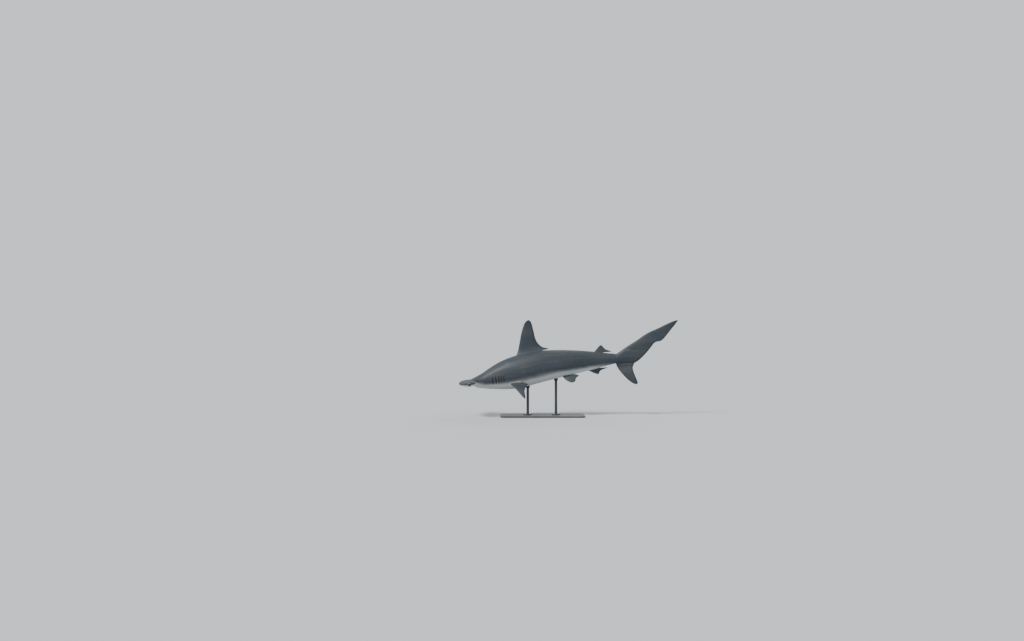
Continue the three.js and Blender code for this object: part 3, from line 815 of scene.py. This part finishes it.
# distance behind the nostril, width and height, and its place and width outwards
FLAP_RIDGE = (0.42, 0.26, 0.12)
FLAP_OUTWARD = (0.1, 0.6)
share = np.abs(side) / HAMMER_REACH
outward = (share - NOSTRIL_SHARE) * HAMMER_REACH
rearward = station - hammer_front(NOSTRIL_SHARE) - NOSTRIL_SETBACK - NOSTRIL_SLANT * outward
underside = ease(-normals[:, 2], *NOSTRIL_DOWN) * marks["hammer"]
pit = plateau(np.hypot(rearward / NOSTRIL_LENGTH, outward / NOSTRIL_WIDTH), 0, 1) * underside
flap = ridge(rearward, *FLAP_RIDGE) * bump(outward, *FLAP_OUTWARD) * underside
relief += flap - NOSTRIL_DEPTH * pit
print("nostrils at station", round(float(hammer_front(NOSTRIL_SHARE)) + NOSTRIL_SETBACK, 2))

# %% Grooves that lead to the nostrils
GROOVE_START = 0.45
GROOVE_RISE, GROOVE_FALL = 0.1, 0.03
GROOVE_SETBACK, GROOVE_DROP = 0.07, 0.22
GROOVE_WIDTH, GROOVE_DEPTH = 0.15, 0.15
GROOVE_SHADE = 0.6
begun = ease(share, GROOVE_START, GROOVE_START + GROOVE_RISE)
ended = ease(share, NOSTRIL_SHARE, NOSTRIL_SHARE + GROOVE_FALL)
behind_edge = station - hammer_front(share) - GROOVE_SETBACK
above_groove = height - hammer_droop(share) + GROOVE_DROP
across_groove = bump(np.hypot(behind_edge, above_groove), 0, GROOVE_WIDTH)
groove = begun * (1 - ended) * across_groove * marks["hammer"]
relief -= GROOVE_DEPTH * groove
# painted shade in the nostril pits and grooves
slit = np.maximum(slit, np.maximum(pit, GROOVE_SHADE * groove))
sculpted = straight + normals * relief[:, None]
print("relief from", relief.min().round(2), "to", relief.max().round(2), "per cent")

# %% [markdown]
# Swim pose
#
# A shark swims with a wave that grows towards its tail. The straight midline gets that wave,
# each point keeps its distance across it, and the whole animal tips its nose down. An armature
# could bend it too, but the same formula has bent the CAD solids, so skin and solids agree.

# %% Bend and tip
BEND_SIZE = 5
BEND_WAVES = 0.85
BEND_START = 1.2
NOSE_DOWN = math.radians(9)
STAND_STATION = 37
AXIS_HEIGHT = 0.5  # metres


def swim(points):
    """Straight-body points in per cent to metres in the part's frame. The midline is moved
    sideways by the square of the length share times a sine of it, and what lies across the
    midline turns with its slope. Then all turns about the side axis over the stand."""
    station, across, height = np.asarray(points, float).T
    share = station / 100
    phase = 2 * np.pi * BEND_WAVES * share - BEND_START
    offset = BEND_SIZE * share**2 * np.sin(phase)
    turning = share**2 * 2 * np.pi * BEND_WAVES * np.cos(phase)
    slope = BEND_SIZE / 100 * (2 * share * np.sin(phase) + turning)
    turned = across / np.hypot(1, slope)
    x, y = station - slope * turned - STAND_STATION, offset + turned
    c, s = math.cos(NOSE_DOWN), math.sin(NOSE_DOWN)
    level = np.stack([x * c - height * s, y, x * s + height * c], -1) * PER_CENT
    return level + [0, 0, AXIS_HEIGHT]


final = swim(sculpted)
hide.vertices.foreach_set("co", final.astype(np.float32).ravel())
print("skin spans", final.min(0).round(3), "to", final.max(0).round(3))

# %% [markdown]
# Markings
#
# Sharks are dark above and pale below. Where one ends and the other begins is a property of
# the body's shape, so the marks are worked out from the straight body and stored on the
# vertices. The material only adds the irregular edge. The fins' horny rays run out from the
# root, and in the long tail lobe they run back and down. Their count is stored, with a strength.

# %% Pale trunk
# how much, and the stations where it begins and is full
EDGE_FALL, FALL_STATIONS = 0.12, (30, 66)
TAIL_GREY, GREY_STATIONS = 0.8, (56, LAST_STATION)
EDGE_HEIGHT = -0.5
EDGE_WIDTH = 0.3
belly_edge = EDGE_HEIGHT - EDGE_FALL * ease(station, *FALL_STATIONS)
pale_body = 1 - ease(body_height, belly_edge - EDGE_WIDTH, belly_edge + EDGE_WIDTH)
pale_body = pale_body * (1 - TAIL_GREY * ease(station, *GREY_STATIONS))
lowest_edge = round(EDGE_HEIGHT - EDGE_FALL, 2)
print("the pale edge falls from", EDGE_HEIGHT, "to", lowest_edge, "of the body's half height")

# %% Pale undersides of the hammer and the fins
# how far the skin faces up where the pale ends: from still pale to all dark
HAMMER_TURN = (-0.45, 0.2)
PAIRED_TURN = (-0.3, 0.1)
# how much, and the shares of a fin's span or the heights between which it changes
TIP_GREY, TIP_SPAN = 0.75, (0.55, 1)
PALE_LOBE, LOBE_HEIGHTS, LOBE_SPAN = 0.18, (-6.5, -1.5), (0.1, 0.8)
THROAT_SHARE, THROAT_STATIONS = 0.75, (8, 13)
upward, span, chord = normals[:, 2], marks["span"], marks["chord"]
pale_hammer = 1 - ease(upward, *HAMMER_TURN)
pale_paired = (1 - ease(upward, *PAIRED_TURN)) * (1 - TIP_GREY * ease(span, *TIP_SPAN))
pale_upright = PALE_LOBE * (1 - ease(height, *LOBE_HEIGHTS)) * (1 - ease(span, *LOBE_SPAN))
throat = (1 - ease(station, *THROAT_STATIONS)) * THROAT_SHARE
near_hammer = marks["hammer"] + (1 - marks["hammer"]) * throat
pale = (
    on_body * (pale_body * (1 - near_hammer) + pale_hammer * near_hammer)
    + marks["hammer"] * pale_hammer
    + marks["paired"] * pale_paired
    + marks["upright"] * pale_upright
)
print("pale share of the skin:", pale.mean().round(2))

# %% Dusky fin edges and the lateral line
REAR_DUSK, TIP_DUSK = 0.55, 0.7
DUSK_SHARES = (0.72, 1.0)
LINE_HEIGHT, LINE_RISE, RISE_STATIONS = 0.22, 0.1, (20, 60)
LINE_WIDTH = 0.035
LINE_STATIONS = (12, 16)
fin = marks["upright"] + marks["paired"]
dusky = REAR_DUSK * ease(chord, *DUSK_SHARES) + TIP_DUSK * ease(span, *DUSK_SHARES)
line_height = LINE_HEIGHT + LINE_RISE * ease(station, *RISE_STATIONS)
line = on_body * bump(body_height, line_height, LINE_WIDTH) * ease(station, *LINE_STATIONS)
print("the lateral line marks", round(float(line.mean() * 100), 2), "per cent of the points")

# %% Fin rays and pores, and all marks onto the skin
RAYS_ACROSS = 30
LOBE_RAYS, LOBE_SLANT = 54, 9
RAY_CHORD, RAY_SPAN = (0.2, 0.8), (0.05, 0.3)
PORE_STATIONS = (8, 12)
lobe_rays = LOBE_RAYS * span - LOBE_SLANT * chord
near_snout = 1 - ease(station, *PORE_STATIONS)
hide_marks = {
    "pale": np.clip(pale, 0, 1),
    "dusk": np.clip(fin * dusky, 0, 1),
    "slit": np.clip(slit, 0, 1),
    "lateral": line,
    "pores": np.clip(marks["hammer"] + near_snout, 0, 1) * on_head,
    "ray": np.where(marks["lobe"] > 0.5, lobe_rays, RAYS_ACROSS * chord),
    "ray_strength": fin * ease(chord, *RAY_CHORD) * ease(span, *RAY_SPAN),
}
for name in cage.marks:
    hide.attributes.remove(hide.attributes[name])
for name, values in hide_marks.items():
    keep_mark(hide, name, values)
print("the skin carries", list(hide_marks))

# %% The skin takes the solids' place
skin = add_object("shark_skin", hide)
FLESH = [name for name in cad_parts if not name.startswith(("eye_", "stand_"))]
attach(skin, "root")
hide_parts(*FLESH)
print("the skin stands for", len(FLESH), "solids")

# %% [markdown]
# Materials as arithmetic
#
# A shader is a sum written in boxes and wires. The small class below lets Python write the
# wires: adding or multiplying two wires adds the Math node that does it. Every other node
# comes from one method, so that all of them are made alike.

# %% Wires


class Wire:
    """One output of a node. Python's operators on it add Math nodes."""

    def __init__(self, finish, socket):
        self.finish = finish
        self.socket = socket

    def maths(self, operation, *values):
        return self.finish.node("Math", {"operation": operation}, dict(enumerate(values)))

    def __add__(self, other):
        return self.maths("ADD", self, other)

    def __sub__(self, other):
        return self.maths("SUBTRACT", self, other)

    def __rsub__(self, other):
        return self.maths("SUBTRACT", other, self)

    def __mul__(self, other):
        return self.maths("MULTIPLY", self, other)

    __radd__ = __add__
    __rmul__ = __mul__

    def size(self):
        """The value without its sign."""
        return self.maths("ABSOLUTE", self)

    def sine(self):
        return self.maths("SINE", self)

    def clamped(self):
        """The value kept between 0 and 1."""
        return self.finish.node("Clamp", {}, {"Value": self})


print("a wire knows", [name for name in vars(Wire) if name.isalpha()])

# %% Finishes


class Finish:
    """A material that is being written."""

    def __init__(self, name, **surface):
        self.material = bpy.data.materials.new(name)
        self.material.use_nodes = True
        self.tree = self.material.node_tree
        self.surface = self.tree.nodes["Principled BSDF"]
        self.coat(**surface)

    def coat(self, **values):
        """Sets or links inputs of the surface's own shader."""
        self.feed(self.surface, values)

    def feed(self, node, values):
        """Sets or links inputs, by name with _ for a blank, or by number. Colours are opaque."""
        for key, value in values.items():
            socket = node.inputs[key.replace("_", " ") if isinstance(key, str) else key]
            if isinstance(value, Wire):
                self.tree.links.new(value.socket, socket)
            elif socket.type == "RGBA":
                socket.default_value = (*value, 1)
            else:
                socket.default_value = value

    def node(self, kind, settings=None, values=None, output=0):
        """A node of a kind. Its settings come first, then its inputs. A ramp's stops are pairs
        of a place and a colour or a grey."""
        made = self.tree.nodes.new("ShaderNode" + kind)
        for name, setting in (settings or {}).items():
            if name == "stops":
                self.set_stops(made.color_ramp, setting)
            else:
                setattr(made, name, setting)
        self.feed(made, values or {})
        return Wire(self, made.outputs[output])

    def set_stops(self, ramp, stops):
        while len(ramp.elements) < len(stops):
            ramp.elements.new(0.5)
        for element, (place, colour) in zip(ramp.elements, stops):
            element.position = place
            element.color = (*(colour if isinstance(colour, tuple) else (colour,) * 3), 1)

    def pattern(self, kind, output, stretch, **values):
        """A texture on object coordinates, which are stretched by a number on each axis."""
        here = self.node("TexCoord", output="Object")
        place = self.node("Mapping", {}, {"Vector": here, "Scale": stretch})
        return self.node(kind, {}, {"Vector": place, **values}, output)

    def noise(self, scale, detail, stretch=(1, 1, 1), roughness=0.5):
        amounts = {"Scale": scale, "Detail": detail, "Roughness": roughness}
        return self.pattern("TexNoise", "Fac", stretch, **amounts)

    def cells(self, scale, stretch=(1, 1, 1)):
        """Distance from the middle of a cell."""
        return self.pattern("TexVoronoi", "Distance", stretch, Scale=scale)

    def mark(self, name):
        return self.node("Attribute", {"attribute_name": name}, output="Fac")

    def ramp(self, factor, *stops):
        return self.node("ValToRGB", {"stops": stops}, {"Fac": factor})

    def mix(self, factor, first, second):
        """Mixes two colours."""
        return self.node("Mix", {"data_type": "RGBA"}, {0: factor, 6: first, 7: second}, 2)

    def bump(self, height, distance, strength):
        values = {"Height": height, "Distance": distance, "Strength": strength}
        return self.node("Bump", {}, values)


print("a finish knows", [name for name in vars(Finish) if name.isalpha()])

# %% [markdown]
# Shark skin
#
# A hammerhead's back is a slate grey with a faint bronze mottling, and its belly is near white,
# with a ragged edge between the two. Close up the skin is matt and slightly rough from tiny
# scales, with old scratches, and dark pores round the hammer. A painted picture would need the
# skin laid out flat, and would blur from near by. So everything that changes over the skin is
# a sum of noises and of the stored markings. The belly's white is a shade darker than paper, so
# that its edge shows against a pale room.

# %% Colours of the skin
BACK = (0.021, 0.031, 0.043)
BACK_WARM = (0.036, 0.041, 0.043)
FLANK = (0.072, 0.088, 0.102)
BELLY = (0.43, 0.452, 0.462)
BELLY_WARM = (0.46, 0.45, 0.42)
DUSK = (0.012, 0.016, 0.021)
SLIT_SHADE = (0.022, 0.012, 0.012)
SCAR = (0.21, 0.225, 0.235)
ACROSS_BODY = (0.35, 1.6, 2.4)

grain = Finish("shark_skin", IOR=1.36, Coat_Roughness=0.3, Coat_Weight=0.06)
mottle = grain.noise(scale=3.4, detail=4.0, roughness=0.6)
streaks = grain.noise(scale=5.0, detail=3.0, stretch=ACROSS_BODY, roughness=0.55)
speckle = grain.noise(scale=60.0, detail=2.0)
pale = grain.mark("pale")
print("skin noises and colours are set")

# %% The ragged edge between back and belly
MEAN = 0.5  # of a noise
MOTTLE_WAVE, STREAK_WAVE, SPECKLE_WAVE = 0.6, 0.55, 0.2
slow_wave = (mottle - MEAN) * MOTTLE_WAVE + (streaks - MEAN) * STREAK_WAVE
edge_wave = slow_wave + (speckle - MEAN) * SPECKLE_WAVE
# four times p (1 - p) is 1 where the pale share p is a half, and 0 where it is 0 or 1
midtone = (pale * (1.0 - pale) * 4.0).clamped()
under = (pale + edge_wave * midtone).clamped()
print("the edge uses", len(grain.tree.nodes), "nodes")

# %% Back and belly
FRECKLES_UNDER = 0.25
back = grain.mix(grain.ramp(mottle, (0.35, 0.0), (0.68, 1.0)), BACK, BACK_WARM)
back = grain.mix(grain.ramp(streaks, (0.45, 0.0), (0.78, 0.35)), back, FLANK)
belly = grain.mix(grain.ramp(mottle, (0.4, 0.0), (0.7, 1.0)), BELLY, BELLY_WARM)
shade = grain.ramp(under, (0.1, 0.0), (0.45, 0.22), (0.9, 1.0))
colour = grain.mix(shade, back, belly)
freckles = grain.ramp(speckle, (0.52, 0.0), (0.72, 0.35))
freckles = freckles * (1.0 - (1 - FRECKLES_UNDER) * under)
colour = grain.mix(freckles, colour, DUSK)
print("back and belly use", len(grain.tree.nodes), "nodes")

# %% Dark fin edges and scars
DUSK_EVEN, DUSK_STREAKED = 0.8, 0.6
SCAR_STRENGTH = 0.4
dusk = (grain.mark("dusk") * (DUSK_EVEN + DUSK_STREAKED * (streaks - MEAN))).clamped()
colour = grain.mix(dusk, colour, DUSK)
# A scar is where a slow noise passes through its mean, kept only in some places.
passing = grain.noise(scale=4.1, detail=0.0, stretch=(0.7, 2.2, 2.6)) - MEAN
scar_places = grain.ramp(grain.noise(scale=8.0, detail=0.0), (0.64, 0.0), (0.7, 1.0))
scars = grain.ramp(passing.size(), (0.001, 1.0), (0.004, 0.0)) * scar_places
colour = grain.mix(scars * SCAR_STRENGTH * (1.0 - under), colour, SCAR)
print("with dusk and scars it uses", len(grain.tree.nodes), "nodes")

# %% Lateral line, pores, and painted shade in the slits
LINE_STRENGTH, SLIT_SHADE_STRENGTH = 0.2, 1.15
lateral = grain.mark("lateral")
colour = grain.mix(lateral * LINE_STRENGTH, colour, FLANK)
pore_places = grain.ramp(grain.noise(scale=16.0, detail=0.0), (0.44, 0.0), (0.58, 0.65))
pores = grain.ramp(grain.cells(scale=210.0), (0.1, 1.0), (0.19, 0.0)) * grain.mark("pores")
colour = grain.mix(pores * pore_places, colour, DUSK)
# Slits, mouth, nostrils, grooves and vent take a dark red-brown: painted shade in the openings,
# over their dark inside.
slit_shade_mark = grain.mark("slit")
colour = grain.mix((slit_shade_mark * SLIT_SHADE_STRENGTH).clamped(), colour, SLIT_SHADE)
print("skin colours use", len(grain.tree.nodes), "nodes")

# %% Fine relief
# Heights in metres: folds, wrinkles, scales, fin rays, the lateral line and scars.
FOLD, WRINKLE, SCALE, RAY = 0.0016, 0.00035, 0.00012, 0.00007
LINE_DEPTH, SCAR_DEPTH = 0.0005, 0.0006
RAY_WANDER = 1.4  # in rays
ripples = grain.noise(scale=13.0, detail=2.0, stretch=(1.6, 0.8, 0.8))
wrinkles = grain.noise(scale=130.0, detail=3.0, stretch=(0.5, 1.0, 1.4))
scales = grain.cells(scale=640.0, stretch=(0.8, 1.0, 1.0))
waves = ((grain.mark("ray") + RAY_WANDER * mottle) * (2 * math.pi)).sine()
rays = waves * grain.mark("ray_strength")
fine_height = WRINKLE * wrinkles + SCALE * scales + RAY * rays
relief_height = FOLD * ripples + fine_height - LINE_DEPTH * lateral - SCAR_DEPTH * scars
print("folds are up to", FOLD * 1000, "mm high")

# %% Roughness, and the finished skin
# an even part, and what the noises and the slits add to it and the pale belly takes away
roughness = 0.46 + 0.14 * speckle + 0.1 * mottle + 0.2 * slit_shade_mark - 0.06 * under
normal = grain.bump(relief_height, distance=1.0, strength=0.8)
grain.coat(Base_Color=colour, Roughness=roughness, Normal=normal)
hide.materials.append(grain.material)
print("skin material:", len(grain.tree.nodes), "nodes")

# %% [markdown]
# Eyes
#
# A hammerhead's eye is large and round, at the very end of the hammer. A wide dark pupil,
# slightly taller than broad, sits in a bronze grey iris. Lens and iris could be shells of their
# own. At this size one ball looks the same: its colour goes by the distance from the pupil's
# middle, and its wet surface gives the highlight.

# %% A ball in the socket
EYE_COLUMNS = 48
EYE_ROWS = 32
PUPIL_HEIGHT = 1.15
BEHIND = 1.5


def eyeball(direction):
    """A sphere about the eye's middle, by turn round its sideways axis and angle from it. Each
    point is marked with its distance from the pupil's middle. Heights count for less there, so
    that the pupil is taller than broad."""
    angles = np.linspace(0, np.pi, EYE_ROWS + 1)[1:-1]
    turn, open_angle = np.meshgrid(full_turn(EYE_COLUMNS), angles)
    rim = np.sin(open_angle)
    middle = np.array([EYE_STATION, direction * EYE_SIDE, EYE_HEIGHT])
    ball = np.stack([rim * np.cos(turn), direction * np.cos(open_angle), rim * np.sin(turn)], -1)
    points = np.vstack([ball.reshape(-1, 3), [[0, direction, 0], [0, -direction, 0]]])
    numbers = numbering(ball)
    faces = quads(numbers).reshape(-1, 4).tolist()
    for row, pole in ((numbers[0], len(points) - 2), (numbers[-1], len(points) - 1)):
        poles = np.full(EYE_COLUMNS, pole)
        faces += np.stack([poles, row, np.roll(row, -1)], -1).tolist()
    mesh = make_mesh("eyeball", swim(middle + EYE_RADIUS * points), faces)
    from_pupil = np.hypot(points[:, 0], points[:, 2] / PUPIL_HEIGHT)
    keep_mark(mesh, "from_pupil", np.where(direction * points[:, 1] > 0, from_pupil, BEHIND))
    face_outwards(mesh)
    return mesh


print("eyes of", round(2 * EYE_RADIUS * MM_PER_CENT), "mm")

# %% Iris, pupil and the wet surface
FIBRE_WOBBLE = 0.03
FIBRE_STRENGTH = 0.35
FIBRE_GREY = (0.03, 0.03, 0.03)
cornea = Finish("shark_eye", Roughness=0.05, IOR=1.36)
away = cornea.mark("from_pupil")
fibres = cornea.noise(scale=900.0, detail=3.0)
iris = cornea.ramp(
    away + (fibres - MEAN) * FIBRE_WOBBLE,
    (0.0, (0.003, 0.004, 0.005)),
    (0.5, (0.004, 0.005, 0.006)),
    (0.54, (0.15, 0.135, 0.1)),
    (0.7, (0.07, 0.068, 0.056)),
    (0.82, (0.012, 0.014, 0.016)),
)
threads = (fibres - 0.3).clamped() * FIBRE_STRENGTH
cornea.coat(Base_Color=cornea.mix(threads, iris, FIBRE_GREY))
for name, direction in (("left", -1), ("right", 1)):
    ball = add_object(f"eyeball_{name}", eyeball(direction))
    ball.data.materials.append(cornea.material)
    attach(ball, "root")
    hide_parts(f"eye_{name}")
    print(ball.name, len(ball.data.polygons), "faces")

# %% [markdown]
# The stand
#
# The stand keeps its CAD solids. Powder-coated steel is nearly black and satin, with a fine
# orange-peel texture, cloudy shades and pale patches of dust. One flat colour would look like
# plastic, so three noises of different grain go into its colour, gloss and bump.

# %% Powder-coated steel
COAT_DARK, COAT_LIGHT = (0.028, 0.03, 0.033), (0.042, 0.044, 0.047)
DUST = (0.09, 0.088, 0.084)
PEEL_DEPTH = 0.0003  # metres
steel = Finish("stand_steel", Metallic=0.0, IOR=1.5)
cloud = steel.noise(scale=4.0, detail=4.0)
peel = steel.noise(scale=700.0, detail=2.0)
grime = steel.noise(scale=28.0, detail=5.0)
cloudy = steel.ramp(cloud, (0.35, 0.0), (0.7, 1.0))
dusty = steel.ramp(grime, (0.55, 0.0), (0.8, 0.3))
steel.coat(
    Base_Color=steel.mix(dusty, steel.mix(cloudy, COAT_DARK, COAT_LIGHT), DUST),
    Roughness=0.38 + 0.18 * grime + 0.08 * cloud,
    Normal=steel.bump(peel, distance=PEEL_DEPTH, strength=0.5),
)
stand = [node for name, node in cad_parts.items() if name.startswith("stand_")]
for node in stand:
    node.data.materials.clear()
    node.data.materials.append(steel.material)
print("coated", [node.name for node in stand])

# %% [markdown]
# Screws and collars
#
# Four round-headed screws hold each rod's flange to the base. Each screw is a profile turned
# about its axis, with a six-sided socket: there the radius is divided by the cosine of the angle
# from the middle of a side. That needs no cutting with a Boolean. A soft black collar, turned
# in the same way, seals each rod where it enters the belly.

# %% Turned pieces
TURNED_COLUMNS = 24


def turned_mesh(name, rings, middles):
    """Copies of a turned profile, one on each middle. A ring is (radius, height, sides), and
    its radius is even all round if sides is 0. The first and last rings are closed."""
    angle = full_turn(TURNED_COLUMNS)
    radius, level, sides = np.array(rings, float).T[..., None]
    half_side = np.pi / np.maximum(sides, 1)
    from_middle = (angle + half_side) % (2 * half_side) - half_side
    width = radius / np.where(sides > 0, np.cos(from_middle), 1)
    one = np.stack([width * np.cos(angle), width * np.sin(angle), level + 0 * angle], -1)
    points = np.array(middles, float)[:, None, None] + one
    numbers = numbering(points)
    ends = numbers[:, 0, ::-1].tolist() + numbers[:, -1].tolist()
    return make_mesh(name, points, quads(numbers).reshape(-1, 4).tolist() + ends)


# radius, height and number of sides of each ring, in metres
SCREW_HEAD = [
    (0.0062, -0.0004, 0),
    (0.0062, 0.0012, 0),
    (0.0055, 0.0027, 0),
    (0.0040, 0.0036, 0),
    (0.0027, 0.0037, 6),
    (0.0026, 0.0014, 6),
]
COLLAR = [
    (0.0150, -0.024, 0),
    (0.0178, -0.024, 0),
    (0.0205, -0.022, 0),
    (0.0218, -0.018, 0),
    (0.0222, 0.004, 0),
    (0.0150, 0.004, 0),
]
print("a screw has", len(SCREW_HEAD), "rings and a collar", len(COLLAR))

# %% Where they sit
FLANGE_THICKNESS = 0.010
SCREW_CIRCLE = 0.032
screw_places = []
collar_places = []
for rod in ("stand_rod_front", "stand_rod_rear"):
    low, high = np.array(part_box(rod))
    x, y = (low + high)[:2] / 2
    collar_places.append([x, y, high[2]])
    for turn in np.radians([45, 135, 225, 315]):
        out = SCREW_CIRCLE * np.array([math.cos(turn), math.sin(turn)])
        screw_places.append([x + out[0], y + out[1], low[2] + FLANGE_THICKNESS])
print(len(screw_places), "screws,", len(collar_places), "collars")

# %% Zinc and rubber


def two_tone(name, scale, detail, first, second, least_roughness, more, **surface):
    """A finish that wavers between two colours, and is rougher where it nears the second."""
    finish = Finish(name, **surface)
    scuffs = finish.noise(scale, detail)
    colour = finish.mix(scuffs, first, second)
    finish.coat(Base_Color=colour, Roughness=least_roughness + more * scuffs)
    return finish.material


ZINC = (0.42, 0.43, 0.44), (0.6, 0.61, 0.62)
RUBBER = (0.012, 0.012, 0.013), (0.024, 0.024, 0.025)
zinc = two_tone("zinc_screw", 900.0, 2.0, *ZINC, least_roughness=0.25, more=0.25, Metallic=1.0)
rubber = two_tone("collar_rubber", 160.0, 4.0, *RUBBER, least_roughness=0.62, more=0.2, IOR=1.4)
CREASE_ANGLE = math.radians(40)
for name, rings, places, material in (
    ("stand_screws", SCREW_HEAD, screw_places, zinc),
    ("stand_collars", COLLAR, collar_places, rubber),
):
    piece = add_object(name, turned_mesh(name, rings, places))
    piece.data.materials.append(material)
    creases = piece.modifiers.new("creases", "EDGE_SPLIT")
    creases.split_angle = CREASE_ANGLE
    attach(piece, "root")
    print(name, len(piece.data.polygons), "faces")

# %% [markdown]
# Floor and light
#
# A studio has a pale floor that runs on until it can't be told from the wall. A wide disc does
# that here: its paint and the sky's brightness were matched, so the horizon melts away from
# every side. The main light comes from above left, as in the photo, and a weaker one from behind
# draws a pale rim along the back. Near lamps would leave bright patches on the floor, so both
# are far off.

# %% Floor
FLOOR_COLUMNS = 96
FLOOR_RADII = np.array([1.0, 3.0, 8.0, 20.0, 60.0])[:, None]
turn = full_turn(FLOOR_COLUMNS)
level = 0 * FLOOR_RADII * turn
disc = np.stack([FLOOR_RADII * np.cos(turn), FLOOR_RADII * np.sin(turn), level], -1)
numbers = numbering(disc)
faces = quads(numbers[::-1]).reshape(-1, 4).tolist() + [numbers[0].tolist()]
floor = add_object("floor", make_mesh("floor", disc, faces), smooth=False)
GREYS = (0.429, 0.443, 0.459), (0.443, 0.457, 0.473)
paint = Finish("floor_paint", Roughness=1.0, IOR=1.08)
dapple = paint.noise(scale=0.7, detail=2.0)
paint.coat(Base_Color=paint.mix(dapple, *GREYS))
floor.data.materials.append(paint.material)
print("floor", 2 * FLOOR_RADII.max(), "m across")

# %% Lights
SKY_COLOUR = (0.9, 0.95, 1.0, 1)
SKY_STRENGTH = 0.95
world = bpy.data.worlds.new("studio")
bpy.context.scene.world = world
world.use_nodes = True
sky = world.node_tree.nodes["Background"]
sky.inputs["Color"].default_value = SKY_COLOUR
sky.inputs["Strength"].default_value = SKY_STRENGTH


def lamp(name, source, power, colour, degrees_across):
    """A far lamp: its light is even all over the floor, and the wider the lamp looks from the
    shark, the softer its shadows are."""
    light = bpy.data.lights.new(name, "SUN")
    light.energy = power
    light.color = colour
    light.angle = math.radians(degrees_across)
    holder = add_object(name, light)
    holder.location = source
    holder.rotation_euler = Vector(source).to_track_quat("Z", "Y").to_euler()


lamp("key", (-3.6, -3.4, 5.4), power=4.0, colour=(1.0, 0.985, 0.96), degrees_across=16)
lamp("rim", (2.4, 4.6, 3.0), power=1.0, colour=(0.92, 0.96, 1.0), degrees_across=30)
print("sky and two lamps")

# %% [markdown]
# Camera
#
# The photo was taken level with the shark and square to its side, and the shark is small and a
# little right of the middle. Lens and distance give it its size in the picture. The snout and
# the tail tip were read off the photo, and the camera stands at the mean of the two places
# that they ask for.

# %% Camera
IMAGE_WIDTH, IMAGE_HEIGHT = 1024, 641
SNOUT_PIXEL = (459.5, 383.4)
TAIL_PIXEL = (677.3, 320.6)
LENS_ANGLE = math.radians(50)
CAMERA_DISTANCE = 12.0
FARTHEST_SIGHT = 200
pixels_per_slope = IMAGE_WIDTH / 2 / math.tan(LENS_ANGLE / 2)
snout, tail_tip = final[final[:, 0].argmin()], final[final[:, 0].argmax()]
places = []
for (x, y, z), (across, down) in ((snout, SNOUT_PIXEL), (tail_tip, TAIL_PIXEL)):
    metres_per_pixel = (CAMERA_DISTANCE + y) / pixels_per_slope
    right, below = across - IMAGE_WIDTH / 2, down - IMAGE_HEIGHT / 2
    places.append((x - right * metres_per_pixel, z + below * metres_per_pixel))
camera_x, camera_z = np.mean(places, axis=0)
camera = add_object("camera", bpy.data.cameras.new("camera"))
camera.data.angle = LENS_ANGLE
camera.data.clip_end = FARTHEST_SIGHT
camera.location = (camera_x, -CAMERA_DISTANCE, camera_z)
camera.rotation_euler = (math.pi / 2, 0, 0)
bpy.context.scene.camera = camera
print("camera at", camera_x.round(3), camera_z.round(3))
